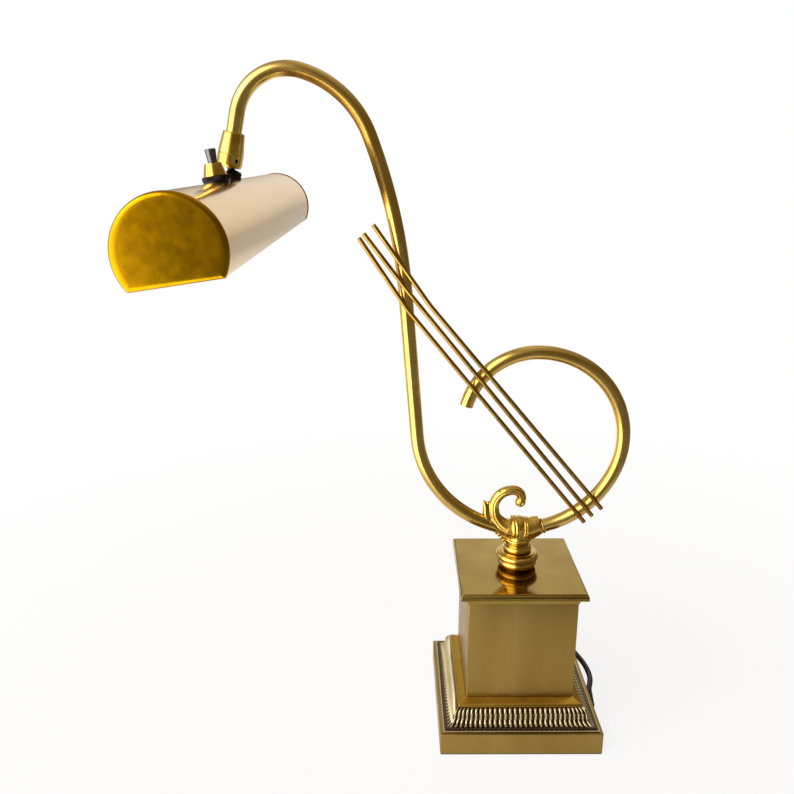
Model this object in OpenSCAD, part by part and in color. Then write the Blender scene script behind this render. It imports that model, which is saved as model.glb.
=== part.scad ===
// Piano lamp: a square brass pedestal carries a treble-clef stem of bent tube, and the arm's end
// carries a long half-round brass shade on a ball swivel. Origin: middle of the underside, +Z up.
// -Y is the side that faces the player's seat, and the arm reaches out towards -X.

/* [Base] */
// Side of the square slab at the bottom
slab_w = 150; // [148:1:156]
// Height of the slab, with its felt
slab_h = 22; // [20:0.5:24]
// Side of the square column
column_w = 100; // [98:0.5:101]
// Height of the top plate's upper face above the table
plate_top = 155.3; // [154:0.1:156]
// Side of the square top plate
plate_w = 115; // [113:0.5:118]
// Thickness of the stamped brass walls
wall = 1.5; // [1.2:0.1:1.8]

/* [Clef] */
// Outer diameter of the bent tubes
tube_d = 12.7; // [12.5:0.1:12.8]
// Inner diameter of the bent tubes
tube_bore = 10.3; // [9.8:0.1:10.8]
// Diameter of the three string rods
string_d = 4; // [3.6:0.1:4.2]

/* [Shade] */
// Outer diameter of the shade
shade_d = 68; // [66:0.5:69]
// Length of the shade over its end caps
shade_len = 440; // [430:1:446]
// Share of the shade's length that lies in front of the swivel
shade_front = 0.53; // [0.5:0.01:0.54]
// Height of the opening's edge below the shade's axis
chord_drop = 19; // [18:0.1:20]
// Thickness of the shade's sheet brass
sheet = 0.8; // [0.6:0.1:1]
// Lean of the shade to the left at rest, in degrees
shade_lean = 8.5; // [7.5:0.1:9]

/* [Swivel] */
// Diameter of the swivel ball
ball_d = 13; // [12.8:0.1:13.1]
// Lean of the collars to the right, in degrees
collar_lean = 12; // [11.8:0.1:12.2]
// Lean of the ball's stem to the left, in degrees
stem_lean = 4; // [3.5:0.1:4.5]

/* [Cord] */
// Diameter of the mains cord
cord_d = 5.6; // [5.4:0.1:5.6]
// Distance between neighbouring turns of the coil
coil_pitch = 6.1; // [6.1:0.1:6.3]
// Radius of the coil at the middle of its turns
coil_mid_r = 31.3; // [30.6:0.1:31.8]

/* [Hidden] */

brass = "darkgoldenrod";
satin = "peru";
dark = "dimgray";
steel = "silver";
eps = 0.02;
round_fn = 48;

// Base heights, from the felt upwards
felt_h = 1;
step_z = slab_h + 1.5;
band_bottom_z = 24.8;
band_foot_z = 25.5;
band_mid_z = 31.6;
band_top_z = 38.8;
slope_low_z = 39.2;
column_z = 44.4;
cove_z = 143;
lip_z = 149.2;
lip_top_z = plate_top - 0.9;
// Base half-widths
slab_r = slab_w / 2;
step_r = slab_r - 2.6;
bead_r = slab_r - 4.8;
band_low_r = slab_r - 6.7;
band_mid_r = slab_r - 12;
band_top_r = slab_r - 16.8;
slope_r = band_top_r - 0.8;
column_r = column_w / 2;
plate_r = plate_w / 2;
ballast_low = 6;
ballast_top = slab_h - wall;
nut_pocket = 4.5;
channel_w = 12;
pipe_d = 10;
pipe_bore = 6.6;
pipe_top = 190;
pipe_low = 5.2;
nut_flats = 14;
nut_h = 3.6;

// Cast holder: axis of the two sockets
holder_z = 195.6;
holder_low = 182.6;
tube_r = tube_d / 2;
fit = 0.05;
// Bent tubes: radius and sweep of each arc in order, in the plane Y = 0
stem_runs = [[26, 0], [42, -93], [82, -54], [470, -16.2], [132, 0]];
stem_foot = [101, 74];
loop_root = [[13.7, 193.5], 17.5];
loop_runs = [[15, 0], [92, 56], [81.5, 106], [64, 66], [90, 8]];

// Swivel: ball centre, and distances along the collars' axis from it
ball = [-252, 0, 527.5];
ball_r = ball_d / 2;
seat_gap = 0.08;
seam = 5;
collar_top = 22.2;
collar_low = -5.6;
collar_r = 10.5;
collar_top_r = 8.9;
tube_end = 12;
mouth_z = -3;
screw_turn = -47;
screw_z = 0.4;
screw_r = 1.25;
mouth_flare = 8.6;
neck_r = 3.05;
// Shade axis at Y = 0
shade_r = shade_d / 2;
shade_axis = [-244.3, 0, 478.4];
shade_y0 = -shade_len * shade_front;
shade_y1 = shade_y0 + shade_len;
cap_t = 4;
cap_lip = 6;
cap_r = shade_r + 0.6;
// Bulb and lampholder, in the shade's own frame
bulb_z = -1;
bulb_r = 12.7;
holder_r = 15;
holder_y0 = shade_y0 + 16;
holder_len = 42;
bulb_end_y = holder_y0 + 336;
switch_y = -69;
ring_r = 10.3;
ring_top = 4.6;
ferrule_top = 13.9;
bush_r = 5;

// ---- Small helpers ----
function at_heading(p, h, d) = [p[0] + d * cos(h), p[1] + d * sin(h)];
// A step of a bent tube: [point, heading] after an arc of radius r and sweep a (left turn positive)
function after_arc(s, r, a) = let (c = at_heading(s[0], s[1] + sign(a) * 90, r))
  [at_heading(c, s[1] + a - sign(a) * 90, r), s[1] + a];
function after_line(s, d) = [at_heading(s[0], s[1], d), s[1]];

// Places a shape drawn with +X along the heading at a point of the plane Y = 0
module in_plane(s) {
  translate([s[0][0], 0, s[0][1]]) rotate([0, -s[1], 0]) children();
}

// A bent tube is a list of runs: [length, 0] is straight, and [radius, sweep] is an arc, where a
// positive sweep turns left
function run_end(s, run) = run[1] == 0 ? after_line(s, run[0]) : after_arc(s, run[0], run[1]);
function run_start(s, runs, n) = n == 0 ? s : run_end(run_start(s, runs, n - 1), runs[n - 1]);

module tube_section(r, bore) {
  difference() {
    circle(r, $fn = round_fn);
    if (bore > 0) circle(bore, $fn = round_fn);
  }
}

// A tube along its runs, which meet under a thin brazed seam
module tube_run(s, runs, r, bore = 0) {
  gap = 0.2;
  seam_len = 1.4;
  seam_rise = 0.05;
  last = len(runs) - 1;
  for (i = [0 : last]) {
    from = run_start(s, runs, i);
    trim = i < last ? gap : 0;
    if (runs[i][1] == 0)
      in_plane(from) rotate([0, 90, 0]) linear_extrude(runs[i][0] - trim) tube_section(r, bore);
    else {
      side = sign(runs[i][1]);
      sweep = abs(runs[i][1]) - trim / runs[i][0] * 180 / PI;
      in_plane(from) translate([0, 0, side * runs[i][0]]) rotate([90, 0, 0])
        rotate([0, 0, side > 0 ? -90 : 90 - sweep]) rotate_extrude(angle = sweep, $fn = 180)
          translate([runs[i][0], 0]) tube_section(r, bore);
    }
  }
  if (last > 0) for (i = [1 : last]) {
    at = run_start(s, runs, i);
    in_plane([at_heading(at[0], at[1], -seam_len / 2), at[1]]) rotate([0, 90, 0])
      linear_extrude(seam_len) tube_section(r + seam_rise, max(0, bore - seam_rise));
  }
}

// Points along the middle of a bent tube, n to each run
function run_points(s, runs, n) = concat([s[0]], [for (i = [0 : len(runs) - 1]) for (k = [1 : n])
  let (run = runs[i], at = run_start(s, runs, i))
  run_end(at, run[1] == 0 ? [run[0] * k / n, 0] : [run[0], run[1] * k / n])[0]]);

// A square-section solid whose half-width at each height is given by [half_width, z] points
module square_lathe(outline) {
  flat = concat(outline, [for (i = [len(outline) - 1 : -1 : 0]) [-outline[i][0], outline[i][1]]]);
  reach = 2 * slab_w;
  intersection() {
    rotate([90, 0, 0]) linear_extrude(reach, center = true) polygon(flat);
    rotate([90, 0, 90]) linear_extrude(reach, center = true) polygon(flat);
  }
}

module square_bar(half, z0, z1) {
  translate([-half, -half, z0]) cube([2 * half, 2 * half, z1 - z0]);
}

// Points of a quarter ellipse from angle a0 to a1
function arc_points(c, rx, rz, a0, a1, n) =
  [for (i = [0 : n]) let (a = a0 + (a1 - a0) * i / n) [c[0] + rx * cos(a), c[1] + rz * sin(a)]];

// ---- Base ----
module felt_pad() color("darkslategray") square_bar(slab_r - 0.5, 0, felt_h);

module plinth() color(satin) {
  difference() {
    square_bar(slab_r, felt_h, slab_h);
    square_bar(slab_r - wall, felt_h - eps, slab_h - wall);
    square_bar(column_r - 6, slab_h - 2 * wall, slab_h + eps);
    translate([slab_r - 2 * wall, relief_from[1], relief_from[2]]) rotate([0, 90, 0])
      cylinder(h = 3 * wall, r = relief_neck + fit, $fn = round_fn);
  }
}

module iron_ballast() color(dark) {
  half = slab_r - wall - 1;
  difference() {
    square_bar(half, ballast_low, ballast_top);
    cylinder(h = slab_h, r = pipe_d / 2 + 0.3, $fn = round_fn);
    cylinder(h = ballast_low + nut_pocket, r = nut_flats * 0.8, $fn = round_fn);
    translate([0, relief_from[1] - channel_w / 2, 0])
      cube([slab_w, channel_w, relief_from[2] + channel_w / 2]);
  }
}

module fluted_band() color(brass) {
  outline = concat([[step_r, slab_h], [step_r, step_z], [bead_r, step_z], [bead_r, band_bottom_z],
    [band_low_r, band_bottom_z]],
    arc_points([band_low_r, band_mid_z], band_low_r - band_mid_r, band_mid_z - band_foot_z,
      270, 180, 6),
    arc_points([band_top_r, band_mid_z], band_mid_r - band_top_r, band_top_z - band_mid_z,
      0, 90, 6));
  difference() {
    square_lathe(outline);
    square_bar(column_r - 4, slab_h - eps, band_top_z + eps);
    square_lathe([[band_low_r - 3, slab_h - eps], [band_top_r - 4, band_top_z - 2]]);
  }
}

module slope_moulding() color(satin) {
  edge = 2.6;
  outline = concat([[slope_r, band_top_z]],
    arc_points([slope_r - edge, slope_low_z], edge, edge, 0, 70, 5),
    [[column_r + 0.4, column_z]]);
  difference() {
    square_lathe(outline);
    square_bar(column_r - 2, band_top_z - eps, column_z + eps);
  }
}

module column_box() color(satin) {
  difference() {
    square_bar(column_r, column_z, cove_z);
    square_bar(column_r - wall, column_z - eps, cove_z + eps);
  }
}

module top_plate() color(brass) {
  outline = concat(
    arc_points([plate_r - 0.5, cove_z + 0.7], plate_r - 0.5 - column_r - 0.8, 5.5, 180, 90, 6),
    [[plate_r, lip_z], [plate_r, lip_top_z - 3]],
    arc_points([plate_r - 1.4, lip_top_z - 3], 1.4, 3, 0, 90, 4),
    [[plate_r - 2, lip_top_z], [plate_r - 2.6, plate_top]]);
  spigot_r = column_r - wall - 0.1;
  difference() {
    union() {
      square_lathe(outline);
      square_bar(column_r + 0.8, cove_z, cove_z + 1);
      square_bar(spigot_r, cove_z - 6, cove_z + 1);
    }
    square_bar(spigot_r - 2, cove_z - 6 - eps, plate_top - 4);
    translate([0, 0, cove_z]) cylinder(h = 20, r = pipe_d / 2 + 0.1, $fn = round_fn);
  }
}

module tie_pipe() color(steel) {
  difference() {
    translate([0, 0, pipe_low]) cylinder(h = pipe_top - pipe_low, d = pipe_d, $fn = round_fn);
    translate([0, 0, pipe_low - eps])
      cylinder(h = pipe_top - pipe_low + 2 * eps, d = pipe_bore, $fn = round_fn);
  }
}

module pipe_washer() color(steel) {
  translate([0, 0, ballast_low + nut_pocket - wall]) difference() {
    cylinder(h = wall, r = nut_flats * 0.75, $fn = round_fn);
    translate([0, 0, -eps]) cylinder(h = wall + 2 * eps, r = pipe_d / 2 + fit, $fn = round_fn);
  }
}

module pipe_nut() color(steel) {
  translate([0, 0, ballast_low + nut_pocket - wall - nut_h]) difference() {
    cylinder(h = nut_h, d = nut_flats / cos(30), $fn = 6);
    translate([0, 0, -eps]) cylinder(h = nut_h + 2 * eps, r = pipe_d / 2 + fit, $fn = round_fn);
  }
}

// ---- Pedestal and clef holder ----
module pedestal() color(brass) {
  // turned rolls: [radius of the roll's middle, height, radius of its section]
  rolls = [[14.6, 160.5, 3.6], [16.8, 167.2, 3.2], [10.3, 174.8, 3.1]];
  difference() {
    rotate_extrude($fn = round_fn) union() {
      polygon([[0, plate_top], [14, plate_top], [15.5, 157.5], [15.5, 159], [18, 166.8],
        [15.2, 170.2], [16.3, 170.8], [16.3, 171.6], [12.6, 172], [10.6, 178.4], [12.3, holder_low],
        [0, holder_low]]);
      for (roll = rolls) translate([roll[0], roll[1]]) circle(roll[2], $fn = round_fn);
    }
    translate([0, 0, plate_top - eps]) cylinder(h = 40, r = pipe_d / 2 + fit, $fn = round_fn);
  }
}

// Centre lines of the scroll: a C that opens to the right, then its curled tip
scroll_c = [-6.6, 214.6];
scroll_r = 16.8;
scroll_bar = 5;
curl_r = 9.4;
curl_bar = 4.5;
tip_c = [1.4, 220.6];

module clef_holder() color(brass) {
  socket_lean = 14;
  difference() {
    union() {
      // foot that screws down on the pedestal
      translate([0, 0, holder_low]) cylinder(h = 8, r1 = 12.3, r2 = 10.4, $fn = round_fn);
      translate([0, 0, holder_z]) sphere(10.8, $fn = round_fn);
      // left arm, which swallows the end of the stem
      in_plane([[0, holder_z], 180 - 2]) rotate([0, 90, 0])
        cylinder(h = 22, r1 = 9.4, r2 = 7.6, $fn = round_fn);
      // right socket with its bead
      in_plane([[0, holder_z - 2.2], socket_lean]) rotate([0, 90, 0]) {
        cylinder(h = 19, r1 = 9.6, r2 = 8.9, $fn = round_fn);
        translate([0, 0, 19]) cylinder(h = 4, r1 = 8.9, r2 = 7.8, $fn = round_fn);
      }
      in_plane(run_start(loop_root, [[8.4, 0]], 1)) rotate([0, 90, 0])
        cylinder(h = 3.4, r = 7.4, $fn = round_fn);
      // two raised straps round the body
      for (x = [-3.6, 8.6]) translate([x, 0, holder_z]) rotate([0, 90, 0])
        cylinder(h = 3.4, r = 11.4, $fn = round_fn);
      // scroll
      tube_run([at_heading(scroll_c, 265, scroll_r), 175], [[scroll_r, -175]], scroll_bar);
      tube_run([at_heading(scroll_c, 91, scroll_r), 1], [[curl_r, -96]], curl_bar);
      translate([tip_c[0], 0, tip_c[1]]) sphere(5.2, $fn = round_fn);
      // leaf on the scroll's back
      translate([-27.5, 0, 208]) rotate([0, 8, 0])
        cylinder(h = 12, r1 = 3.4, r2 = 2.2, $fn = round_fn);
    }
    tube_run(stem_foot_from, [stem_foot], tube_r + fit);
    tube_run(loop_root, [loop_runs[0]], tube_r + fit);
    translate([0, 0, 180]) cylinder(h = 12, r = pipe_d / 2 + fit, $fn = round_fn);
    // wiring chamber
    translate([0, 0, 188]) cylinder(h = 10, r = 4.6, $fn = round_fn);
    in_plane([[-20, 196.4], -3]) rotate([0, 90, 0]) cylinder(h = 22, r = 4.4, $fn = round_fn);
  }
}

// ---- Bent tubes ----
stem_from = [at_heading([ball[0], ball[2]], 90 - collar_lean, tube_end), 90 - collar_lean];
stem_foot_from = run_start(stem_from, stem_runs, len(stem_runs));
stem_foot_end = after_arc(stem_foot_from, stem_foot[0], stem_foot[1]);

module stem_tube() color(brass) {
  tube_run(stem_from, concat(stem_runs, [stem_foot]), tube_r, tube_bore / 2);
}

module loop_tube() color(brass) {
  tube_run(loop_root, loop_runs, tube_r, tube_bore / 2);
}

// ---- Strings: each is bent a little where it crosses the stem ----
string_y = -(tube_r + string_d / 2 - 0.08);
string_routes = [
  [[-146.4, 465], [-105.8, 404.6], [59.8, 203.7]],
  [[-142.4, 468.6], [-104, 418.4], [66.7, 210.1]],
  [[-134.3, 475.8], [-86, 407.6], [75.1, 217.1]]];

module string_rod(route) color(brass) {
  for (i = [0, 1]) {
    run = route[i + 1] - route[i];
    translate([route[i][0], string_y, route[i][1]]) rotate([0, atan2(run[0], run[1]), 0])
      cylinder(h = norm(run), d = string_d, $fn = round_fn);
  }
  translate([route[1][0], string_y, route[1][1]]) sphere(d = string_d + 0.1, $fn = round_fn);
}

module string_left() string_rod(string_routes[0]);
module string_middle() string_rod(string_routes[1]);
module string_right() string_rod(string_routes[2]);

// ---- Swivel ----
module at_collar() {
  translate(ball) rotate([0, collar_lean, 0]) children();
}

module at_stem() {
  translate(ball) rotate([0, -stem_lean, 0]) children();
}

module upper_collar() color(brass) {
  at_collar() difference() {
    union() {
      translate([0, 0, seam + 0.1]) cylinder(h = collar_top - seam - 1.1, r1 = collar_r,
        r2 = collar_top_r, $fn = round_fn);
      translate([0, 0, collar_top - 1]) cylinder(h = 1, r1 = collar_top_r,
        r2 = collar_top_r - 0.8, $fn = round_fn);
    }
    translate([0, 0, tube_end]) cylinder(h = 20, r = tube_r + fit, $fn = round_fn);
    translate([0, 0, 0]) cylinder(h = 20, r = tube_bore / 2, $fn = round_fn);
    translate([0, 0, seam]) cylinder(h = 3.2, r = 8.45, $fn = round_fn);
  }
}

// The collar's upper ring turns inside the upper collar, and its bore holds the ball
module lower_collar() color(brass) {
  at_collar() difference() {
    union() {
      translate([0, 0, collar_low]) cylinder(h = 2, r1 = collar_r - 0.5, r2 = collar_r - 0.2,
        $fn = round_fn);
      translate([0, 0, collar_low + 2]) cylinder(h = seam - collar_low - 2, r1 = collar_r - 0.2,
        r2 = collar_r, $fn = round_fn);
      translate([0, 0, seam]) cylinder(h = 2.8, r = 8.4, $fn = round_fn);
    }
    sphere(ball_r + seat_gap, $fn = round_fn);
    cylinder(h = 20, r = ball_r + seat_gap, $fn = round_fn);
    translate([0, 0, collar_low - eps]) cylinder(h = mouth_z - collar_low + eps,
      r1 = mouth_flare, r2 = sqrt(pow(ball_r + seat_gap, 2) - pow(mouth_z, 2)), $fn = round_fn);
    rotate(screw_turn) translate([0, 0, screw_z]) rotate([0, 90, 0])
      cylinder(h = 20, r = screw_r + fit, $fn = round_fn);
  }
}

module set_screw() color(dark) {
  at_collar() rotate(screw_turn) translate([ball_r + seat_gap + fit, 0, screw_z]) rotate([0, 90, 0])
    difference() {
      cylinder(h = 3.2, r = screw_r, $fn = round_fn);
      translate([0, 0, 2]) cylinder(h = 2, r = 0.7, $fn = 6);
    }
}

module ball_stem() color(dark) {
  nut_top = -11;
  nut_low = -13.6;
  at_stem() difference() {
    union() {
      sphere(ball_r, $fn = round_fn);
      translate([0, 0, -9]) cylinder(h = 9, r = neck_r, $fn = round_fn);
      translate([0, 0, nut_top]) cylinder(h = 3.5, r1 = 8, r2 = neck_r, $fn = round_fn);
      translate([0, 0, nut_low]) cylinder(h = nut_top - nut_low, r = 8, $fn = round_fn);
      translate([0, 0, -24]) cylinder(h = 12, r = 4.6, $fn = round_fn);
    }
    translate([0, 0, -26]) cylinder(h = 36, r = 2, $fn = round_fn);
  }
}

// Pads that fill the space between the flat nut faces and the curved sheet
module swivel_washer() color(steel) {
  difference() {
    at_stem() translate([0, 0, -17]) cylinder(h = 17 - 13.6, r = 7.4, $fn = round_fn);
    at_stem() translate([0, 0, -20]) cylinder(h = 10, r = 4.6 + fit, $fn = round_fn);
    in_shade() along_y(-40, 40) circle(shade_r, $fn = 180);
  }
}

module inner_washer() color(steel) {
  intersection() {
    at_stem() translate([0, 0, -20.5]) difference() {
      cylinder(h = 6, r = 7, $fn = round_fn);
      translate([0, 0, -1]) cylinder(h = 10, r = 4.6 + fit, $fn = round_fn);
    }
    in_shade() along_y(-40, 40) circle(shade_r - sheet, $fn = 180);
  }
}

module inner_nut() color(steel) {
  at_stem() translate([0, 0, -23.6]) difference() {
    cylinder(h = 3.1, r = 7.6, $fn = 6);
    translate([0, 0, -1]) cylinder(h = 6, r = 4.6 + fit, $fn = round_fn);
  }
}

// ---- Shade ----
// The shade's frame: origin on its axis above Y = 0, Y along it, Z away from the opening
module in_shade() {
  translate(shade_axis) rotate([0, -shade_lean, 0]) children();
}

// Extrudes a flat shape of the shade's cross-section from y0 to y1
module along_y(y0, y1) {
  translate([0, y1, 0]) rotate([90, 0, 0]) linear_extrude(y1 - y0) children();
}

module above_chord(drop) {
  translate([-shade_d, -drop]) square([2 * shade_d, 2 * shade_d]);
}

module shade_shell() color(brass) {
  hem_w = 3;
  edge_x = sqrt(pow(shade_r, 2) - pow(chord_drop, 2));
  difference() {
    in_shade() along_y(shade_y0 + cap_t, shade_y1 - cap_t) {
      intersection() {
        difference() {
          circle(shade_r, $fn = 180);
          circle(shade_r - sheet, $fn = 180);
        }
        above_chord(chord_drop);
      }
      for (side = [-1, 1]) translate([side * (edge_x - hem_w / 2) - hem_w / 2, -chord_drop])
        square([hem_w, sheet]);
    }
    at_stem() translate([0, 0, -30]) cylinder(h = 25, r = 4.6 + fit, $fn = round_fn);
    in_shade() translate([0, switch_y, shade_r - 4]) cylinder(h = 10, r = bush_r + fit, $fn = round_fn);
  }
}

// A pressed pan: a face with a rounded rim, and a lip that plugs into the shell
module cap_pan() {
  corner = 2.5;
  lip_r = shade_r - sheet - 4 * fit;
  pan_r = lip_r - sheet;
  intersection() {
    rotate([90, 0, 0]) rotate_extrude($fn = 180) difference() {
      union() {
        square([cap_r - corner, cap_t]);
        square([cap_r, cap_t - corner]);
        translate([cap_r - corner, cap_t - corner]) intersection() {
          circle(corner, $fn = round_fn);
          square(corner);
        }
      }
      translate([0, -eps]) square([pan_r, cap_t - sheet + eps]);
    }
    along_y(-2 * cap_t, cap_t) above_chord(chord_drop);
  }
  intersection() {
    along_y(-cap_t + sheet, cap_lip) difference() {
      circle(lip_r, $fn = 180);
      circle(pan_r, $fn = 180);
    }
    along_y(-2 * cap_t, 2 * cap_lip) above_chord(chord_drop - sheet - fit);
  }
  floor_half = sqrt(pow(pan_r, 2) - pow(chord_drop, 2)) + 0.3;
  translate([-floor_half, -cap_t + sheet / 2, -chord_drop])
    cube([2 * floor_half, cap_t - sheet / 2, sheet]);
}

module near_cap() color(brass) {
  in_shade() translate([0, shade_y0 + cap_t, 0]) cap_pan();
}

module far_cap() color(brass) {
  in_shade() translate([0, shade_y1 - cap_t, 0]) rotate([0, 0, 180]) cap_pan();
}

// Angle bracket under the shell's roof that carries the lampholder
bracket_w = 20;
bracket_t = 1.5;
bracket_roof = 25;
screw_x = 6;
screw_y = holder_y0 + 7;

module holder_bracket() color(steel) {
  in_shade() difference() {
    intersection() {
      union() {
        translate([-bracket_w / 2, holder_y0 - bracket_t, bulb_z - 10])
          cube([bracket_w, bracket_t, bracket_roof + bracket_t - bulb_z + 10]);
        translate([-bracket_w / 2, holder_y0 - bracket_t, bracket_roof])
          cube([bracket_w, 16, bracket_t]);
        translate([-bracket_w / 2, screw_y - 4, bracket_roof + bracket_t])
          cube([bracket_w, 8, 10]);
      }
      along_y(shade_y0, shade_y1) circle(shade_r - sheet, $fn = 180);
    }
    translate([0, holder_y0 - 2 * bracket_t, bulb_z]) rotate([-90, 0, 0])
      cylinder(h = 3 * bracket_t, r = 4.6, $fn = round_fn);
    for (side = [-1, 1]) translate([side * screw_x, screw_y, bracket_roof - 1])
      cylinder(h = 12, r = 1.5 + fit, $fn = round_fn);
  }
}

module bracket_screws() color(steel) {
  in_shade() for (side = [-1, 1]) translate([side * screw_x, screw_y, 0]) {
    translate([0, 0, bracket_roof - 2]) cylinder(h = 2, r = 2.6, $fn = round_fn);
    translate([0, 0, bracket_roof - 0.5]) cylinder(h = 6, r = 1.5, $fn = round_fn);
  }
}

module lampholder() color("saddlebrown") {
  in_shade() translate([0, holder_y0, bulb_z]) rotate([-90, 0, 0]) difference() {
    union() {
      cylinder(h = 12, r = 10, $fn = round_fn);
      translate([0, 0, 10]) cylinder(h = holder_len - 10, r = holder_r, $fn = round_fn);
    }
    translate([0, 0, 14]) cylinder(h = holder_len, r = 13.4, $fn = round_fn);
  }
}

module bulb_base() color(steel) {
  in_shade() translate([0, holder_y0 + 14, bulb_z]) rotate([-90, 0, 0]) {
    cylinder(h = 3, r1 = 4.5, r2 = 9, $fn = round_fn);
    translate([0, 0, 3]) cylinder(h = 22, r = 13.1, $fn = round_fn);
  }
}

// Half of the bulb's outline, from its neck to the round end
module bulb_profile(r, len) {
  polygon([[0, 0], [r - 0.3, 0], [r, 6], [r, len - r], [0, len - r]]);
  intersection() {
    translate([0, len - r]) circle(r, $fn = round_fn);
    translate([0, len - r - 1]) square([r, r + 2]);
  }
}

module bulb_glass() color("ivory") {
  from = holder_y0 + 39;
  glass_t = 1;
  in_shade() translate([0, from, bulb_z]) rotate([-90, 0, 0]) rotate_extrude($fn = round_fn)
    difference() {
      bulb_profile(bulb_r, bulb_end_y - from);
      translate([0, glass_t]) bulb_profile(bulb_r - glass_t, bulb_end_y - from - 2 * glass_t);
    }
}

// ---- Rotary switch in the shade ----
module at_switch() {
  in_shade() translate([0, switch_y, shade_r]) children();
}

module switch_body() color(dark) {
  at_switch() {
    translate([0, 0, -16.5]) cylinder(h = 14.2, r = 9.5, $fn = round_fn);
    difference() {
      translate([0, 0, -3]) cylinder(h = 12, r = bush_r, $fn = round_fn);
      translate([0, 0, 6]) cylinder(h = 4, r = 2.2, $fn = round_fn);
    }
  }
}

module switch_ring() color("black") {
  ribs = 28;
  at_switch() difference() {
    union() {
      translate([0, 0, -1.6]) cylinder(h = ring_top + 1.6, r = ring_r - 0.3, $fn = round_fn);
      for (i = [0 : ribs - 1]) rotate([0, 0, i * 360 / ribs])
        translate([ring_r - 0.6, -0.4, ring_top - 3]) cube([0.7, 0.8, 2.8]);
    }
    translate([0, 0, -3]) cylinder(h = 9, r = bush_r + fit, $fn = round_fn);
    translate([0, 0, -shade_r]) along_y(-20, 20) circle(shade_r + 0.02, $fn = 180);
  }
}

module switch_ferrule() color(brass) {
  at_switch() difference() {
    translate([0, 0, ring_top]) cylinder(h = ferrule_top - ring_top, r1 = 8.7, r2 = 6.4,
      $fn = round_fn);
    translate([0, 0, 3]) cylinder(h = 6.2, r = bush_r + fit, $fn = round_fn);
    translate([0, 0, 9]) cylinder(h = 7, r = 4.2, $fn = round_fn);
  }
}

module switch_knob() color("black") {
  at_switch() {
    translate([0, 0, ferrule_top - 0.5]) cylinder(h = 10.2, r1 = 3.5, r2 = 4.2, $fn = round_fn);
    translate([0, 0, ferrule_top + 9.7]) cylinder(h = 0.7, r1 = 4.2, r2 = 3.6, $fn = round_fn);
    translate([0, 0, 6.4]) cylinder(h = ferrule_top - 6.4, r = 2.1, $fn = round_fn);
  }
}

// ---- Wires inside ----
// The lead from the slab's wall, up the tie pipe and through the stem to the swivel
lead_in_route = [[71.5, -12, 5.2], [62, -12, 5.2], [48, -11.5, 5.2], [34, -10, 4.6], [22, -7, 3.6],
  [13, -4, 3.1], [7, -2, 2.9], [3, -0.6, 3.6], [0.9, 0, 6], [0, 0, 11], [0, 0, 24], [0, 0, 100],
  [0, 0, 170], [-0.4, 0, 184], [-4, 0, 192]];

module inner_lead() color("black") {
  foot = [for (p = run_points(stem_from, concat(stem_runs, [stem_foot]), 6)) [p[0], 0, p[1]]];
  up = [for (i = [len(foot) - 1 : -1 : 0]) foot[i]];
  cord_tube(concat(lead_in_route, up), 1.8, 8, [-1, 0, 0], [-sin(collar_lean), 0, -cos(collar_lean)],
    [0, 1, 0]);
}

module shade_lead() color("ivory") {
  wire_r = 1.1;
  roof = 29.4;
  gap = 9.2;
  in_shade() {
    translate([3, switch_y + gap, roof]) rotate([-90, 0, 0])
      cylinder(h = -switch_y - gap - 9, r = wire_r, $fn = round_fn);
    translate([3, screw_y + 5, roof]) rotate([-90, 0, 0])
      cylinder(h = switch_y - gap - screw_y - 5, r = wire_r, $fn = round_fn);
  }
}

// ---- Mains cord ----
cord_r = cord_d / 2;
relief_neck = 2.8;
relief_r = 3.6;
relief_from = [slab_r + relief_r + 0.15, -12, 5.2];
relief_turn = 8;
relief_len = 22;
relief_tip = relief_from + relief_len * [sin(relief_turn), cos(relief_turn), 0];
coil_centre = [33, 140];
coil_layers = 2;
coil_turns = 4;
coil_rings = 24;
coil_low = cord_r;
coil_rise = coil_pitch;
coil_out_r = coil_mid_r + coil_pitch * coil_turns / 2;
straight_end = 5;
coil_in = [coil_centre[0] + coil_out_r, coil_centre[1], coil_low];
lead_route = [[83.5, 16.4, 5], [85.8, 23, 4.6], [87.8, 30.4, 4], [89.1, 39, 3.4], [89.2, 48.3, 3],
  [88.3, 57.5, 2.8], [86.4, 66.4, 2.8], [83.8, 75.2, 2.8], [81.1, 84.2, 2.8], [78.8, 93.6, 2.8],
  [77.3, 103.6, 2.8], [76.6, 114, 2.8], [76.5, 125, 2.8]];
tail_turn = [[43.5, 162], 33.5];
tail_z = [7.3, 5.9, 4.6, 3.6, 3, 2.8, 2.9];
tail_route = concat([[76.8, 153.5, 8.4]],
  [for (i = [0 : 6]) let (p = at_heading(tail_turn[0], 15 * i, tail_turn[1]))
    [p[0], p[1], tail_z[i]]],
  [[34, 195.5, 3.6], [24, 195.5, 4.9]]);
plug_h = 11;
plug_at = [14, 195.5, plug_h / 2];

function unit(v) = v / norm(v);
function heading_at(p, i) = unit(p[min(i + 1, len(p) - 1)] - p[max(i - 1, 0)]);
function route_len(p) = len(p) < 2 ? 0
  : [for (i = [1 : len(p) - 1]) norm(p[i] - p[i - 1])] * [for (i = [1 : len(p) - 1]) 1];

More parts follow.
